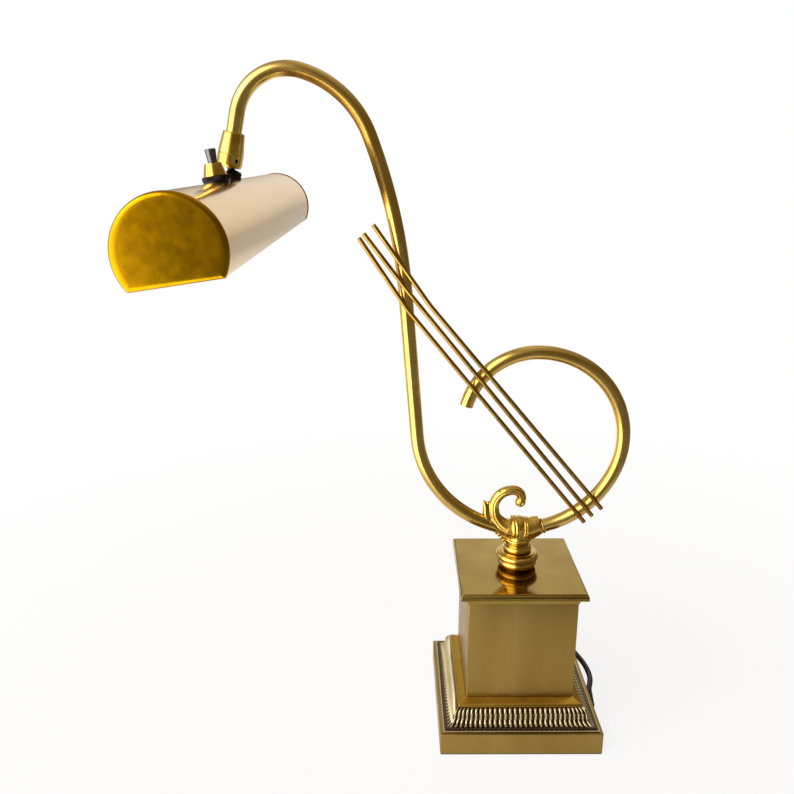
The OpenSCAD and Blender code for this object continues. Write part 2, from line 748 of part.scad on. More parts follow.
// One closed tube round a route: a ring at each point, square to the way the route runs there.
// The route never runs along ref, which keeps the rings from twisting
module cord_tube(p, r, sides, first, last, ref = [0, 0, 1]) {
  n = len(p);
  rings = [for (i = [0 : n - 1])
    let (t = i == 0 ? first : i == n - 1 ? last : heading_at(p, i),
      s = unit(cross(t, ref)), u = cross(s, t))
    for (k = [0 : sides - 1]) let (a = (k + 0.5) * 360 / sides) p[i] + r * (cos(a) * s + sin(a) * u)];
  walls = [for (i = [0 : n - 2]) for (k = [0 : sides - 1])
    let (a = i * sides + k, b = i * sides + (k + 1) % sides)
    for (f = [[a, a + sides, b + sides], [a, b + sides, b]]) f];
  ends = [[for (k = [0 : sides - 1]) k],
    [for (k = [sides - 1 : -1 : 0]) (n - 1) * sides + k]];
  polyhedron(rings, concat(walls, ends), convexity = 4);
}

// The coil: in over one layer, up while the spiral turns round, and out over the next
function coil_point(t) = let (turns = coil_turns * coil_layers, back = abs(t - coil_turns),
  r = coil_out_r - coil_pitch * (coil_turns - back),
  up = min(1, max(0, (t - coil_turns + 0.25) * 2)), a = 360 * t)
  [coil_centre[0] + r * cos(a), coil_centre[1] + r * sin(a),
   coil_low + coil_rise * (1 - cos(180 * up)) / 2];
coil_points = concat([coil_in - [0, straight_end, 0]],
  [for (i = [0 : coil_turns * coil_layers * coil_rings]) coil_point(i / coil_rings)],
  [coil_in + [0, straight_end, coil_rise]]);
coil_gap = min([for (i = [0 : 2 : len(coil_points) - 1])
  for (j = [i + 14 : 1 : len(coil_points) - 1]) norm(coil_points[i] - coil_points[j])]) - cord_d;

lead_points = concat([relief_tip], lead_route, [coil_in - [0, straight_end, 0]]);
tail_points = concat([coil_in + [0, straight_end, coil_rise]], tail_route,
  [plug_at]);
echo(coil_gap = coil_gap, lead = route_len(lead_points), coil = route_len(coil_points),
  tail = route_len(tail_points),
  total = route_len(lead_points) + route_len(coil_points) + route_len(tail_points));

module cord_lead() color("black") {
  cord_tube(lead_points, cord_r, 10, [sin(relief_turn), cos(relief_turn), 0], [0, 1, 0]);
}

module cord_coil() color("black") {
  cord_tube(coil_points, cord_r, 6, [0, 1, 0], [0, 1, 0]);
}

module cord_tail() color("black") {
  cord_tube(tail_points, cord_r, 10, [0, 1, 0], [-1, 0, 0]);
}

// Moulded elbow in the slab's right wall, with a tapered sleeve that lies along the wall
module strain_relief() color("black") {
  flange_t = 1.4;
  translate([slab_r - wall - 2, relief_from[1], relief_from[2]]) rotate([0, 90, 0]) {
    cylinder(h = 2, r = relief_neck + 1.2, $fn = round_fn);
    cylinder(h = relief_from[0] - slab_r + wall + 2, r = relief_neck, $fn = round_fn);
  }
  translate([slab_r, relief_from[1], relief_from[2]]) rotate([0, 90, 0])
    cylinder(h = flange_t, r = relief_r + 0.8, $fn = round_fn);
  translate(relief_from) sphere(relief_r, $fn = round_fn);
  translate(relief_from) rotate([-90, 0, -relief_turn])
    cylinder(h = relief_len, r1 = relief_r - 0.05, r2 = cord_r + 0.25, $fn = round_fn);
}

module plug_body() color("black") {
  grip_len = 9;
  mid_len = 7;
  neck_len = 10;
  translate([plug_at[0] - grip_len - mid_len - neck_len, plug_at[1], 0]) {
    translate([0, -12, 0]) cube([grip_len, 24, plug_h]);
    translate([grip_len, -9, 0.6]) cube([mid_len, 18, plug_h - 1.2]);
    translate([grip_len + mid_len, 0, plug_h / 2]) rotate([0, 90, 0])
      cylinder(h = neck_len, r1 = 4.2, r2 = cord_r + 0.4, $fn = round_fn);
  }
}

module plug_blades() color(steel) {
  blade_len = 16.5;
  for (side = [-1, 1])
    translate([plug_at[0] - 26 - blade_len, plug_at[1] + side * 6.35 - 0.75, plug_at[2] - 3.2])
      cube([blade_len, 1.5, 6.4]);
}

felt_pad();
plinth();
iron_ballast();
fluted_band();
slope_moulding();
column_box();
top_plate();
tie_pipe();
pipe_washer();
pipe_nut();
pedestal();
clef_holder();
stem_tube();
loop_tube();
string_left();
string_middle();
string_right();
upper_collar();
inner_lead();
lower_collar();
set_screw();
ball_stem();
swivel_washer();
inner_washer();
inner_nut();
shade_shell();
near_cap();
far_cap();
holder_bracket();
bracket_screws();
lampholder();
bulb_base();
bulb_glass();
switch_body();
switch_ring();
switch_ferrule();
shade_lead();
switch_knob();
strain_relief();
cord_lead();
cord_coil();
cord_tail();
plug_body();
plug_blades();
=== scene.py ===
import math

import bmesh
import bpy
import numpy as np
from mathutils import Matrix, Vector, noise


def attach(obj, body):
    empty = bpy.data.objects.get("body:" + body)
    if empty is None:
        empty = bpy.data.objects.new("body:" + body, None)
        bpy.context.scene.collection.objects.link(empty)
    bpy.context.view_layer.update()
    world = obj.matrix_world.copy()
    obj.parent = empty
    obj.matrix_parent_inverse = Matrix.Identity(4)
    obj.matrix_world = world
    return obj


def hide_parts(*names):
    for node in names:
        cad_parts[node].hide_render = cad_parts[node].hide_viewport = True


# Everything below is drawn in millimetres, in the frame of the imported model
MM = 0.001
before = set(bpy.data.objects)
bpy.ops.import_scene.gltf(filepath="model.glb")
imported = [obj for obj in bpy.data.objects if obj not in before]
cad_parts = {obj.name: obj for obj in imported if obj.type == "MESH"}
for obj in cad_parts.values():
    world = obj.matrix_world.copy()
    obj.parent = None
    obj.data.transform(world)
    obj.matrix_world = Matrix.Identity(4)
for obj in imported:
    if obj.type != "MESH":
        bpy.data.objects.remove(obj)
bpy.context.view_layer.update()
scene = bpy.context.scene
scene.view_settings.view_transform = "Standard"


# ---- Camera ----
def make_camera():
    data = bpy.data.cameras.new("camera")
    data.lens, data.sensor_width = 36.463, 36
    data.clip_start, data.clip_end = 0.01, 60
    camera = add("camera", data)
    yaw, pitch, roll = -0.00198, -0.293, 0.00088
    camera.matrix_world = (
        Matrix.Translation((-0.11585, -0.69156, 0.53187))
        @ Matrix.Rotation(yaw, 4, "Z")
        @ Matrix.Rotation(pitch, 4, "X")
        @ Matrix.Rotation(roll, 4, "Y")
        @ Matrix.Rotation(math.pi / 2, 4, "X")
    )
    scene.camera = camera


# ---- Shapes: each is (points, faces) in millimetres ----
def skin(rings, loop=False, caps=True):
    """Faces over rings of equal length. loop closes the last ring to the first."""
    rings = np.asarray(rings, float)
    count, sides = rings.shape[:2]
    faces = []
    for i in range(count if loop else count - 1):
        a, b = i * sides, (i + 1) % count * sides
        for k in range(sides):
            m = (k + 1) % sides
            faces.append((a + k, a + m, b + m, b + k))
    if caps and not loop:
        faces.append(tuple(range(sides - 1, -1, -1)))
        faces.append(tuple(range((count - 1) * sides, count * sides)))
    return rings.reshape(-1, 3), faces


def join(*shapes):
    points, faces, base = [], [], 0
    for p, f in shapes:
        points.append(p)
        faces += [tuple(i + base for i in face) for face in f]
        base += len(p)
    return np.concatenate(points), faces


def posed(at, degrees, axis):
    return Matrix.Translation(at) @ Matrix.Rotation(math.radians(degrees), 4, axis)


def place(shape, matrix):
    m = np.array(matrix)
    return shape[0] @ m[:3, :3].T + m[:3, 3], shape[1]


def soften(points, radius, closed=True, steps=4):
    """The outline with its corners rounded to a radius, or less where their sides are short."""
    made, count = [], len(points)
    for i in range(count):
        p = np.array(points[i], float)
        if not closed and i in (0, count - 1):
            made.append(p)
            continue
        a, b = np.array(points[i - 1]) - p, np.array(points[(i + 1) % count]) - p
        la, lb = np.linalg.norm(a), np.linalg.norm(b)
        half = math.acos(max(-1.0, min(1.0, float(a @ b) / la / lb))) / 2
        if half > 1.5:
            made.append(p)
            continue
        cut = min(radius / math.tan(half), 0.45 * la, 0.45 * lb)
        start, end = p + a / la * cut, p + b / lb * cut
        for t in np.linspace(0, 1, steps + 1):
            made.append((1 - t) ** 2 * start + 2 * t * (1 - t) * p + t * t * end)
    return np.array(made)


def arc(centre, rx, rz, a0, a1, count):
    angles = np.radians(np.linspace(a0, a1, count + 1))
    return [(centre[0] + rx * math.cos(a), centre[1] + rz * math.sin(a)) for a in angles]


def turned(outline, sides=96, loop=False, matrix=None):
    """A lathe round Z of (radius, height) points. loop is for a closed outline."""
    angles = np.linspace(0, 2 * math.pi, sides, endpoint=False)
    ring = np.stack([np.cos(angles), np.sin(angles)], 1)
    rings = [np.c_[ring * r, np.full(sides, z)] for r, z in outline]
    shape = skin(rings, loop, caps=False)
    return place(shape, matrix) if matrix else shape


def square_ring(half, z, corner, steps=3):
    made = []
    for c, s in [(1, 0), (0, 1), (-1, 0), (0, -1)]:
        for a in np.linspace(0, math.pi / 2, steps + 1):
            x, y = half - corner * (1 - math.cos(a)), half - corner * (1 - math.sin(a))
            made.append((c * x - s * y, s * x + c * y, z))
    return made


def square_shell(outline, corner, edge=0.35):
    """A mitred frame: a closed outline of (half width, height) points taken round the square."""
    return skin([square_ring(h, z, corner) for h, z in soften(outline, edge)], loop=True)


def travel(path):
    """Tangent and two normals at each point of a path, carried along without twist."""
    path = np.asarray(path, float)
    t = np.gradient(path, axis=0)
    t /= np.linalg.norm(t, axis=1)[:, None]
    n = np.cross(t[0], (0.0, 1.0, 0.0) if abs(t[0][1]) < 0.9 else (1.0, 0.0, 0.0))
    normals = []
    for d in t:
        n = n - (n @ d) * d
        n = n / np.linalg.norm(n)
        normals.append(n)
    normals = np.array(normals)
    return t, normals, np.cross(t, normals)


def circle(radius, sides):
    angles = np.linspace(0, 2 * math.pi, sides, endpoint=False)
    return radius * np.stack([np.cos(angles), np.sin(angles)], 1)


def rings_along(path, outlines):
    """One ring at each point of a path, from that point's outline of (u, v) offsets."""
    _, n, b = travel(path)
    return [
        p + np.outer(o[:, 0], n[i]) + np.outer(o[:, 1], b[i])
        for i, (p, o) in enumerate(zip(np.asarray(path, float), outlines))
    ]


def rod(path, radii, sides=32):
    """A solid round bar along a path. radii has one radius for each point."""
    return skin(rings_along(path, [circle(r, sides) for r in radii]))


def hollow(path, radius, bore, sides=48, chamfer=0.3):
    """An open tube along a path, with a small chamfer at both ends."""
    outer = rings_along(path, [circle(radius, sides)] * len(path))
    inner = rings_along(path, [circle(bore, sides)] * len(path))
    t = travel(path)[0]
    near = rings_along(path, [circle(radius - chamfer, sides)] * len(path))
    outer[0], outer[-1] = outer[0] + t[0] * chamfer, outer[-1] - t[-1] * chamfer
    outer = [near[0], *outer, near[-1]]
    return skin(outer + inner[::-1], loop=True)


def ball(centre, size, sides=32):
    """An ellipsoid with its three half-sizes."""
    angles = np.linspace(-math.pi / 2, math.pi / 2, sides // 2 + 1)
    shape = turned([(max(math.cos(a), 0), math.sin(a)) for a in angles], sides)
    return shape[0] * np.array(size) + np.array(centre), shape[1]


def smooth_path(points, step):
    """A curve through the points, with a point about every step."""
    p = np.asarray(points, float)
    p = np.concatenate([[2 * p[0] - p[1]], p, [2 * p[-1] - p[-2]]])
    made = []
    for a, b, c, d in zip(p, p[1:], p[2:], p[3:]):
        k = [0]
        for q, r in ((a, b), (b, c), (c, d)):
            k.append(k[-1] + np.linalg.norm(r - q) ** 0.5)
        parts = max(1, round(np.linalg.norm(c - b) / step))
        for t in np.linspace(k[1], k[2], parts, endpoint=False):
            ab = ((k[1] - t) * a + (t - k[0]) * b) / (k[1] - k[0])
            bc = ((k[2] - t) * b + (t - k[1]) * c) / (k[2] - k[1])
            cd = ((k[3] - t) * c + (t - k[2]) * d) / (k[3] - k[2])
            abc = ((k[2] - t) * ab + (t - k[0]) * bc) / (k[2] - k[0])
            bcd = ((k[3] - t) * bc + (t - k[1]) * cd) / (k[3] - k[1])
            made.append(((k[2] - t) * abc + (t - k[1]) * bcd) / (k[2] - k[1]))
    return np.array([*made, points[-1]])


def bent_path(x, z, heading, runs, step=2.5):
    """Points of a bent tube in the plane Y = 0. A run is (length, 0), or (radius, sweep)."""
    made = [(x, 0.0, z)]
    for size, sweep in runs:
        length = math.radians(abs(sweep)) * size if sweep else size
        parts = max(2, round(length / step))
        turn = sweep / parts
        chord = 2 * size * math.sin(math.radians(abs(turn)) / 2) if sweep else size / parts
        for _ in range(parts):
            heading += turn / 2
            x += chord * math.cos(math.radians(heading))
            z += chord * math.sin(math.radians(heading))
            heading += turn / 2
            made.append((x, 0.0, z))
    return np.array(made)


def welded(name, shape, grime=None):
    """A mesh in metres from a shape, with its points joined and its faces turned outwards."""
    mesh = bpy.data.meshes.new(name)
    mesh.from_pydata((shape[0] * MM).tolist(), [], shape[1])
    # each point's share of painted shade, kept for the metal's colour
    if grime is not None:
        mesh.attributes.new("grime", "FLOAT", "POINT").data.foreach_set("value", grime)
    bm = bmesh.new()
    bm.from_mesh(mesh)
    bmesh.ops.remove_doubles(bm, verts=bm.verts, dist=2e-7)
    bmesh.ops.dissolve_degenerate(bm, edges=bm.edges, dist=1e-8)
    bmesh.ops.recalc_face_normals(bm, faces=bm.faces)
    bm.to_mesh(mesh)
    bm.free()
    return mesh


def add(name, data):
    made = bpy.data.objects.new(name, data)
    scene.collection.objects.link(made)
    return made


def make(name, shape, look, nodes, body="stand", sharp=32, grime=None):
    """A piece from a shape, smooth but for edges above the sharp angle. It rides on the body and
    stands for the CAD nodes. The last argument gives each point its share of painted shade."""
    mesh = welded(name, shape, grime)
    mesh.shade_smooth()
    mesh.set_sharp_from_angle(angle=math.radians(sharp))
    mesh.materials.append(LOOK[look])
    piece = add(name, mesh)
    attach(piece, body)
    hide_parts(*nodes)
    return piece


def reshape(piece, kind, **settings):
    """Gives the piece the mesh that a modifier makes of it."""
    change = piece.modifiers.new("change", kind)
    for key, value in settings.items():
        setattr(change, key, value)
    graph = bpy.context.evaluated_depsgraph_get()
    made = bpy.data.meshes.new_from_object(piece.evaluated_get(graph))
    piece.modifiers.clear()
    piece.data = made


def drill(piece, shape):
    """Takes a closed shape out of a piece."""
    mesh = welded("bit", shape)
    bit = add("bit", mesh)
    bit.matrix_world = piece.matrix_world.copy()
    bpy.context.view_layer.update()
    reshape(piece, "BOOLEAN", operation="DIFFERENCE", solver="EXACT", object=bit)
    bpy.data.objects.remove(bit)
    bpy.data.meshes.remove(mesh)


# ---- Materials ----
def node(tree, kind, inputs=None, **settings):
    made = tree.nodes.new("ShaderNode" + kind)
    for key, value in settings.items():
        setattr(made, key, value)
    for key, value in (inputs or {}).items():
        if isinstance(value, bpy.types.NodeSocket):
            tree.links.new(value, made.inputs[key])
        else:
            made.inputs[key].default_value = value
    return made


def rgba(colour):
    return (*colour, 1.0)


def soft_ramp(tree, value, low, high, to_low=0.0, to_high=1.0):
    inputs = {"Value": value, "From Min": low, "From Max": high, "To Min": to_low,
              "To Max": to_high}
    return node(tree, "MapRange", inputs, interpolation_type="SMOOTHSTEP").outputs[0]


def brightest(tree, way, patches, least):
    """The strongest light towards a direction, from soft round patches. A patch has its own
    direction, the cosines at its rim and where it is full, and its strength."""
    light = least
    for toward, rim, full, strength in patches:
        dot = node(tree, "VectorMath", {0: way, 1: toward}, operation="DOT_PRODUCT").outputs[1]
        part = soft_ramp(tree, dot, rim, full, to_high=strength)
        light = node(tree, "Math", {0: part, 1: light}, operation="MAXIMUM").outputs[0]
    return light


def two_colours(tree, share, a, b, **settings):
    made = node(tree, "Mix", data_type="RGBA", **settings)
    tree.links.new(share, made.inputs["Factor"])
    made.inputs[6].default_value, made.inputs[7].default_value = rgba(a), rgba(b)
    return made.outputs[2]


class Paint:
    """A material under construction. Its patterns use the row frame, in metres."""

    def __init__(self, name, **values):
        self.material = bpy.data.materials.new(name)
        self.material.use_nodes = True
        self.tree = self.material.node_tree
        self.shader = self.tree.nodes["Principled BSDF"]
        for key, value in values.items():
            self.shader.inputs[key.replace("_", " ")].default_value = value
        self.coords = node(self.tree, "TexCoord").outputs["Object"]

    def noise(self, scale, detail=4.0, stretch=(1, 1, 1), rough=0.55, distortion=0.0):
        """Noise with about this many features to the metre, drawn out along an axis by stretch."""
        at = node(self.tree, "Mapping", {"Vector": self.coords, "Scale": stretch}).outputs[0]
        inputs = {"Vector": at, "Scale": scale, "Detail": detail, "Roughness": rough,
                  "Distortion": distortion}
        return node(self.tree, "TexNoise", inputs).outputs["Fac"]

    def ramp(self, *limits):
        return soft_ramp(self.tree, *limits)

    def mix(self, share, a, b):
        made = node(self.tree, "Mix", data_type="RGBA")
        for socket, value in (("Factor_Float", share), ("A_Color", a), ("B_Color", b)):
            target = next(s for s in made.inputs if s.identifier == socket)
            if isinstance(value, bpy.types.NodeSocket):
                self.tree.links.new(value, target)
            else:
                target.default_value = value if socket == "Factor_Float" else rgba(value)
        return next(s for s in made.outputs if s.identifier == "Result_Color")

    def link(self, value, socket):
        self.tree.links.new(value, self.shader.inputs[socket])
        return self

    def bump(self, height, strength, distance):
        inputs = {"Height": height, "Strength": strength, "Distance": distance * MM}
        return self.link(node(self.tree, "Bump", inputs).outputs[0], "Normal")

    def hollows(self, reach):
        """1 on open surface and 0 deep in a hollow narrower than reach, in millimetres."""
        inputs = {"Distance": reach * MM}
        return node(self.tree, "AmbientOcclusion", inputs, samples=8).outputs["AO"]


def metal(name, light, deep, rough, scale=28, stretch=(1, 1, 1), spots=0.0, reach=0.0,
          painted_shade_colour=(0.10, 0.05, 0.01), edge=(0.25, 0.8), grain=900, lay=(1, 1, 1), grain_depth=0.012,
          coat=0.0, tint=(1.0, 1.0, 1.0), shaded_by_points=False):
    """Aged metal: cloudy tarnish between two colours, small spots and fine wear, with painted
    shade: hollows darkened by ambient occlusion and, where asked, each point darkened by its share
    from the mesh.
    """
    paint = Paint(name, Metallic=1.0, Coat_Weight=coat, Coat_Roughness=0.08,
                  Specular_Tint=rgba(tint))
    cloud = paint.ramp(paint.noise(scale, 6, stretch, distortion=0.4), 0.32, 0.70)
    colour = paint.mix(cloud, light, deep)
    if spots:
        speck = paint.ramp(paint.noise(230, 3), 0.64, 0.74, 0.0, spots)
        colour = paint.mix(speck, colour, [c * 0.45 for c in deep])
    # painted shade: hollows narrower than reach, found by ambient occlusion, are darkened
    if reach:
        colour = paint.mix(paint.ramp(paint.hollows(reach), *edge), painted_shade_colour, colour)
    # painted shade: each point's share from the mesh darkens its colour
    if shaded_by_points:
        paint_on = node(paint.tree, "Attribute", attribute_name="grime").outputs["Fac"]
        colour = paint.mix(paint_on, colour, painted_shade_colour)
    paint.link(colour, "Base Color")
    wear = paint.noise(scale * 2.2, 5, stretch)
    paint.link(paint.ramp(wear, 0.3, 0.72, rough[0], rough[1]), "Roughness")
    paint.bump(paint.noise(grain, 3, lay), 0.5, grain_depth)
    return paint.material


def dull(name, light, dark, rough, scale=60, grain=700, depth=0.03, **values):
    """A non-metal with a little unevenness in its colour, gloss and surface."""
    paint = Paint(name, **values)
    paint.link(paint.mix(paint.ramp(paint.noise(scale, 5), 0.3, 0.7), light, dark), "Base Color")
    paint.link(paint.ramp(paint.noise(scale * 3, 4), 0.3, 0.7, *rough), "Roughness")
    paint.bump(paint.noise(grain, 4), 0.6, depth)
    return paint.material


def make_materials():
    upright, across = (1, 1, 0.16), (1, 0.12, 1)
    return {
        "tube": metal("tube_brass", (0.74, 0.49, 0.11), (0.60, 0.37, 0.06), (0.15, 0.24), 22,
                      spots=0.25, grain=500, grain_depth=0.006, coat=0.6),
        "string": metal("string_brass", (0.50, 0.30, 0.06), (0.34, 0.19, 0.03), (0.22, 0.34), 60,
                        spots=0.3),
        "satin": metal("satin_brass", (0.42, 0.285, 0.085), (0.34, 0.215, 0.055), (0.26, 0.36), 16,
                       upright, spots=0.25, grain=1600, lay=(1, 1, 0.02), grain_depth=0.01),
        "moulding": metal("moulding_brass", (0.80, 0.49, 0.07), (0.62, 0.36, 0.05), (0.20, 0.30),
                          20, spots=0.3, reach=4.0, painted_shade_colour=(0.12, 0.06, 0.008), edge=(0.3, 0.85),
                          shaded_by_points=True),
        # pale brass as painted highlight on the reeds' lit bands; their painted shade comes from
        # each point's share
        "reeds": metal("reeded_brass", (0.92, 0.78, 0.48), (0.80, 0.62, 0.30), (0.14, 0.24), 40,
                       spots=0.15, reach=2.6, painted_shade_colour=(0.035, 0.015, 0.004), edge=(0.42, 0.92),
                       shaded_by_points=True),
        "plate": metal("plate_brass", (0.41, 0.28, 0.068), (0.32, 0.20, 0.044), (0.09, 0.15), 14,
                       spots=0.3, grain=420, grain_depth=0.004),
        "cast": metal("cast_brass", (0.80, 0.52, 0.09), (0.60, 0.34, 0.04), (0.15, 0.25), 70,
                      reach=3.2, grain=700, grain_depth=0.015, coat=0.6),
        "turned": metal("turned_brass", (0.74, 0.47, 0.08), (0.58, 0.34, 0.04), (0.14, 0.22), 60,
                        spots=0.2, reach=2.5, grain=1400, lay=(0.05, 0.05, 1), grain_depth=0.008,
                        coat=0.6),
        # cream brass: the shade's golden brass paled as a painted reflection of the white room it
        # mirrors
        "shade": metal("shade_brass", (0.76, 0.60, 0.40), (0.68, 0.52, 0.32), (0.11, 0.18), 16,
                       across, spots=0.45, grain=380, lay=(1, 0.4, 1), grain_depth=0.003,
                       tint=(1.0, 0.90, 0.76)),
        "cap": metal("cap_brass", (0.50, 0.25, 0.003), (0.44, 0.21, 0.002), (0.17, 0.22), 60,
                     spots=0.4, grain=300, grain_depth=0.02),
        "black": metal("blackened_steel", (0.035, 0.032, 0.03), (0.02, 0.018, 0.016),
                       (0.28, 0.42), 80),
        "steel": metal("plated_steel", (0.62, 0.60, 0.55), (0.45, 0.43, 0.39), (0.25, 0.42), 60,
                       spots=0.2),
        "nickel": metal("nickel", (0.70, 0.66, 0.58), (0.55, 0.51, 0.44), (0.16, 0.28), 60,
                        reach=1.5),
        "iron": metal("cast_iron", (0.10, 0.09, 0.085), (0.05, 0.045, 0.04), (0.5, 0.7), 50,
                      grain=500, grain_depth=0.3),
        "knob": dull("dark_knob", (0.010, 0.008, 0.007), (0.005, 0.004, 0.004), (0.20, 0.30),
                     IOR=2.2),
        "cord": dull("cord_rubber", (0.009, 0.009, 0.010), (0.004, 0.004, 0.005), (0.34, 0.48),
                     grain=900, depth=0.05),
        "felt": dull("felt", (0.045, 0.075, 0.05), (0.02, 0.04, 0.025), (0.85, 1.0), 500, 2600,
                     0.4, Sheen_Weight=0.4),
        "resin": dull("phenolic", (0.05, 0.025, 0.016), (0.03, 0.014, 0.01), (0.25, 0.4)),
        "glass": dull("frosted_glass", (0.90, 0.88, 0.83), (0.84, 0.82, 0.77), (0.3, 0.42), 40,
                      grain=1500, depth=0.02, Transmission_Weight=0.3, Subsurface_Weight=0.2,
                      Subsurface_Scale=0.004),
        "wire": dull("wire_sleeve", (0.55, 0.53, 0.48), (0.44, 0.42, 0.37), (0.4, 0.55)),
    }


LOOK = make_materials()


# ---- Light, floor and background ----
def make_world():
    """A brown room with a bright window on the left, and pale walls behind and to the left."""
    world = bpy.data.worlds.new("studio")
    world.use_nodes = True
    scene.world = world
    tree = world.node_tree
    tree.nodes.clear()
    window = ((-0.78, -0.51, 0.36), 0.76, 0.83, 3.6)
    left_wall = ((-0.93, -0.30, 0.20), 0.20, 0.80, 0.85)
    back_wall = ((0.10, 0.935, 0.34), 0.86, 0.995, 1.0)
    ceiling = ((-0.25, 0.15, 0.96), 0.25, 0.85, 0.34)
    light = brightest(tree, node(tree, "TexCoord").outputs["Generated"],
                      (window, left_wall, back_wall, ceiling), 0.0)
    # the window is stronger than white, so the share isn't cut off at 1
    colour = two_colours(tree, light, (0.17, 0.13, 0.07), (1.0, 0.985, 0.96), clamp_factor=False)
    seen = node(tree, "Background", {"Color": (1, 1, 1, 1), "Strength": 1.0}).outputs[0]
    lit = node(tree, "Background", {"Color": colour, "Strength": 1.0}).outputs[0]
    camera_ray = node(tree, "LightPath").outputs["Is Camera Ray"]
    both = node(tree, "MixShader", {0: camera_ray, 1: lit, 2: seen}).outputs[0]
    node(tree, "OutputWorld", {"Surface": both})


def make_light(name, at, aim, size, watts, colour):
    data = bpy.data.lights.new(name, "AREA")
    data.shape, data.size, data.energy, data.color = "DISK", size, watts, colour
    lamp = add(name, data)
    lamp.location = at
    lamp.rotation_euler = (Vector(aim) - Vector(at)).to_track_quat("-Z", "Y").to_euler()


def make_floor():
    """A pale table top that fades to plain white away from the lamp."""
    mesh = bpy.data.meshes.new("floor")
    sides = 48
    rings = [np.c_[circle(r, sides), np.zeros(sides)] for r in (0.3, 0.8, 2.0, 20.0)]
    points, faces = skin(rings, caps=False)
    mesh.from_pydata(points.tolist(), [], [*faces, tuple(range(sides))])
    material = bpy.data.materials.new("table_top")
    material.use_nodes = True
    tree = material.node_tree
    tree.nodes.clear()
    coords = node(tree, "TexCoord").outputs["Object"]
    far = node(tree, "VectorMath", {0: coords}, operation="LENGTH").outputs[1]
    fade = soft_ramp(tree, far, 0.25, 1.0, to_low=0.85)
    grain = node(tree, "TexNoise", {"Vector": coords, "Scale": 9.0, "Detail": 3.0}).outputs["Fac"]
    colour = two_colours(tree, grain, (0.90, 0.885, 0.86), (0.86, 0.84, 0.80))
    matt = node(tree, "BsdfPrincipled", {"Base Color": colour, "Roughness": 0.55})
    path = node(tree, "LightPath").outputs
    # the metal mirrors a table that is bright below the window, pale to the left and behind,
    # and dim in front, and the camera sees it white
    way = node(tree, "VectorMath", {0: coords}, operation="NORMALIZE").outputs[0]
    left = ((-0.95, 0.30, 0), 0.20, 0.80, 0.90)
    behind = ((0.0, 1.0, 0), 0.30, 0.90, soft_ramp(tree, far, 0.9, 3.5, 1.0, 0.58))
    back_left = ((-0.38, 0.925, 0), 0.93, 0.985, 1.7)
    below_window = ((-0.80, -0.60, 0), 0.84, 0.89, 3.4)
    mirrored = brightest(tree, way, (left, behind, back_left, below_window), 0.20)
    shown = node(tree, "Mix", {0: path["Is Camera Ray"], 2: mirrored, 3: 1.0}, data_type="FLOAT")
    glow = node(tree, "Emission", {"Color": (1, 1, 1, 1), "Strength": shown.outputs[0]})
    beyond = soft_ramp(tree, far, 0.25, 0.6)
    seen = node(tree, "Math", {0: path["Is Camera Ray"], 1: fade}, operation="MULTIPLY")
    glossy = node(tree, "Math", {0: path["Is Glossy Ray"], 1: beyond}, operation="MULTIPLY")
    share = node(tree, "Math", {0: seen.outputs[0], 1: glossy.outputs[0]}, operation="MAXIMUM")
    both = node(tree, "MixShader", {0: share.outputs[0], 1: matt.outputs[0], 2: glow.outputs[0]})
    node(tree, "OutputMaterial", {"Surface": both.outputs[0]})
    mesh.materials.append(material)
    add("floor", mesh)


# ---- Mains cord ----
CORD_R = 2.8
RELIEF_R = 3.6
RELIEF_FROM = np.array([78.75, -12, 5.2])
RELIEF_TURN, RELIEF_LEN = 8, 22
RELIEF_WAY = np.array([math.sin(math.radians(RELIEF_TURN)), math.cos(math.radians(RELIEF_TURN)), 0])
RELIEF_TIP = RELIEF_FROM + RELIEF_LEN * RELIEF_WAY
COIL_CENTRE = (33, 140)
COIL_R, COIL_PITCH, COIL_RISE, COIL_TURNS = 43.5, 6.1, 6.1, 4
COIL_IN = np.array([COIL_CENTRE[0] + COIL_R, COIL_CENTRE[1], CORD_R])
LEAD = [(83.5, 16.4, 5), (85.8, 23, 4.6), (87.8, 30.4, 4), (89.1, 39, 3.4), (89.2, 48.3, 3),
        (88.3, 57.5, 2.8), (86.4, 66.4, 2.8), (83.8, 75.2, 2.8), (81.1, 84.2, 2.8),
        (78.8, 93.6, 2.8), (77.3, 103.6, 2.8), (76.6, 114, 2.8), (76.5, 125, 2.8)]
TAIL_BEND = arc((43.5, 162), 33.5, 33.5, 0, 90, 6)
TAIL = [(76.8, 153.5, 8.4),
        *[(x, y, z) for (x, y), z in zip(TAIL_BEND, (7.3, 5.9, 4.6, 3.6, 3, 2.8, 2.9))],
        (34, 195.5, 3.6), (24, 195.5, 4.9)]
PLUG_AT = (14, 195.5, 5.5)


def coil_point(turns):
    """A point of the coil: inwards over one layer, up, and outwards over the next."""
    back = abs(turns - COIL_TURNS)
    r = COIL_R - COIL_PITCH * (COIL_TURNS - back)
    up = min(1, max(0, (turns - COIL_TURNS + 0.25) * 2))
    a = 2 * math.pi * turns
    return (COIL_CENTRE[0] + r * math.cos(a), COIL_CENTRE[1] + r * math.sin(a),
            CORD_R + COIL_RISE * (1 - math.cos(math.pi * up)) / 2)


def plug_ring(x, half_y, half_z, power=4.5, sides=40):
    """A ring of a rounded rectangle across X, at the plug's place. Power 2 makes it round."""
    made = []
    for a in np.linspace(0, 2 * math.pi, sides, endpoint=False):
        c, s = math.cos(a), math.sin(a)
        k = (abs(c) ** power + abs(s) ** power) ** (-1 / power)
        made.append((PLUG_AT[0] + x, PLUG_AT[1] + half_y * k * c, PLUG_AT[2] + half_z * k * s))
    return made


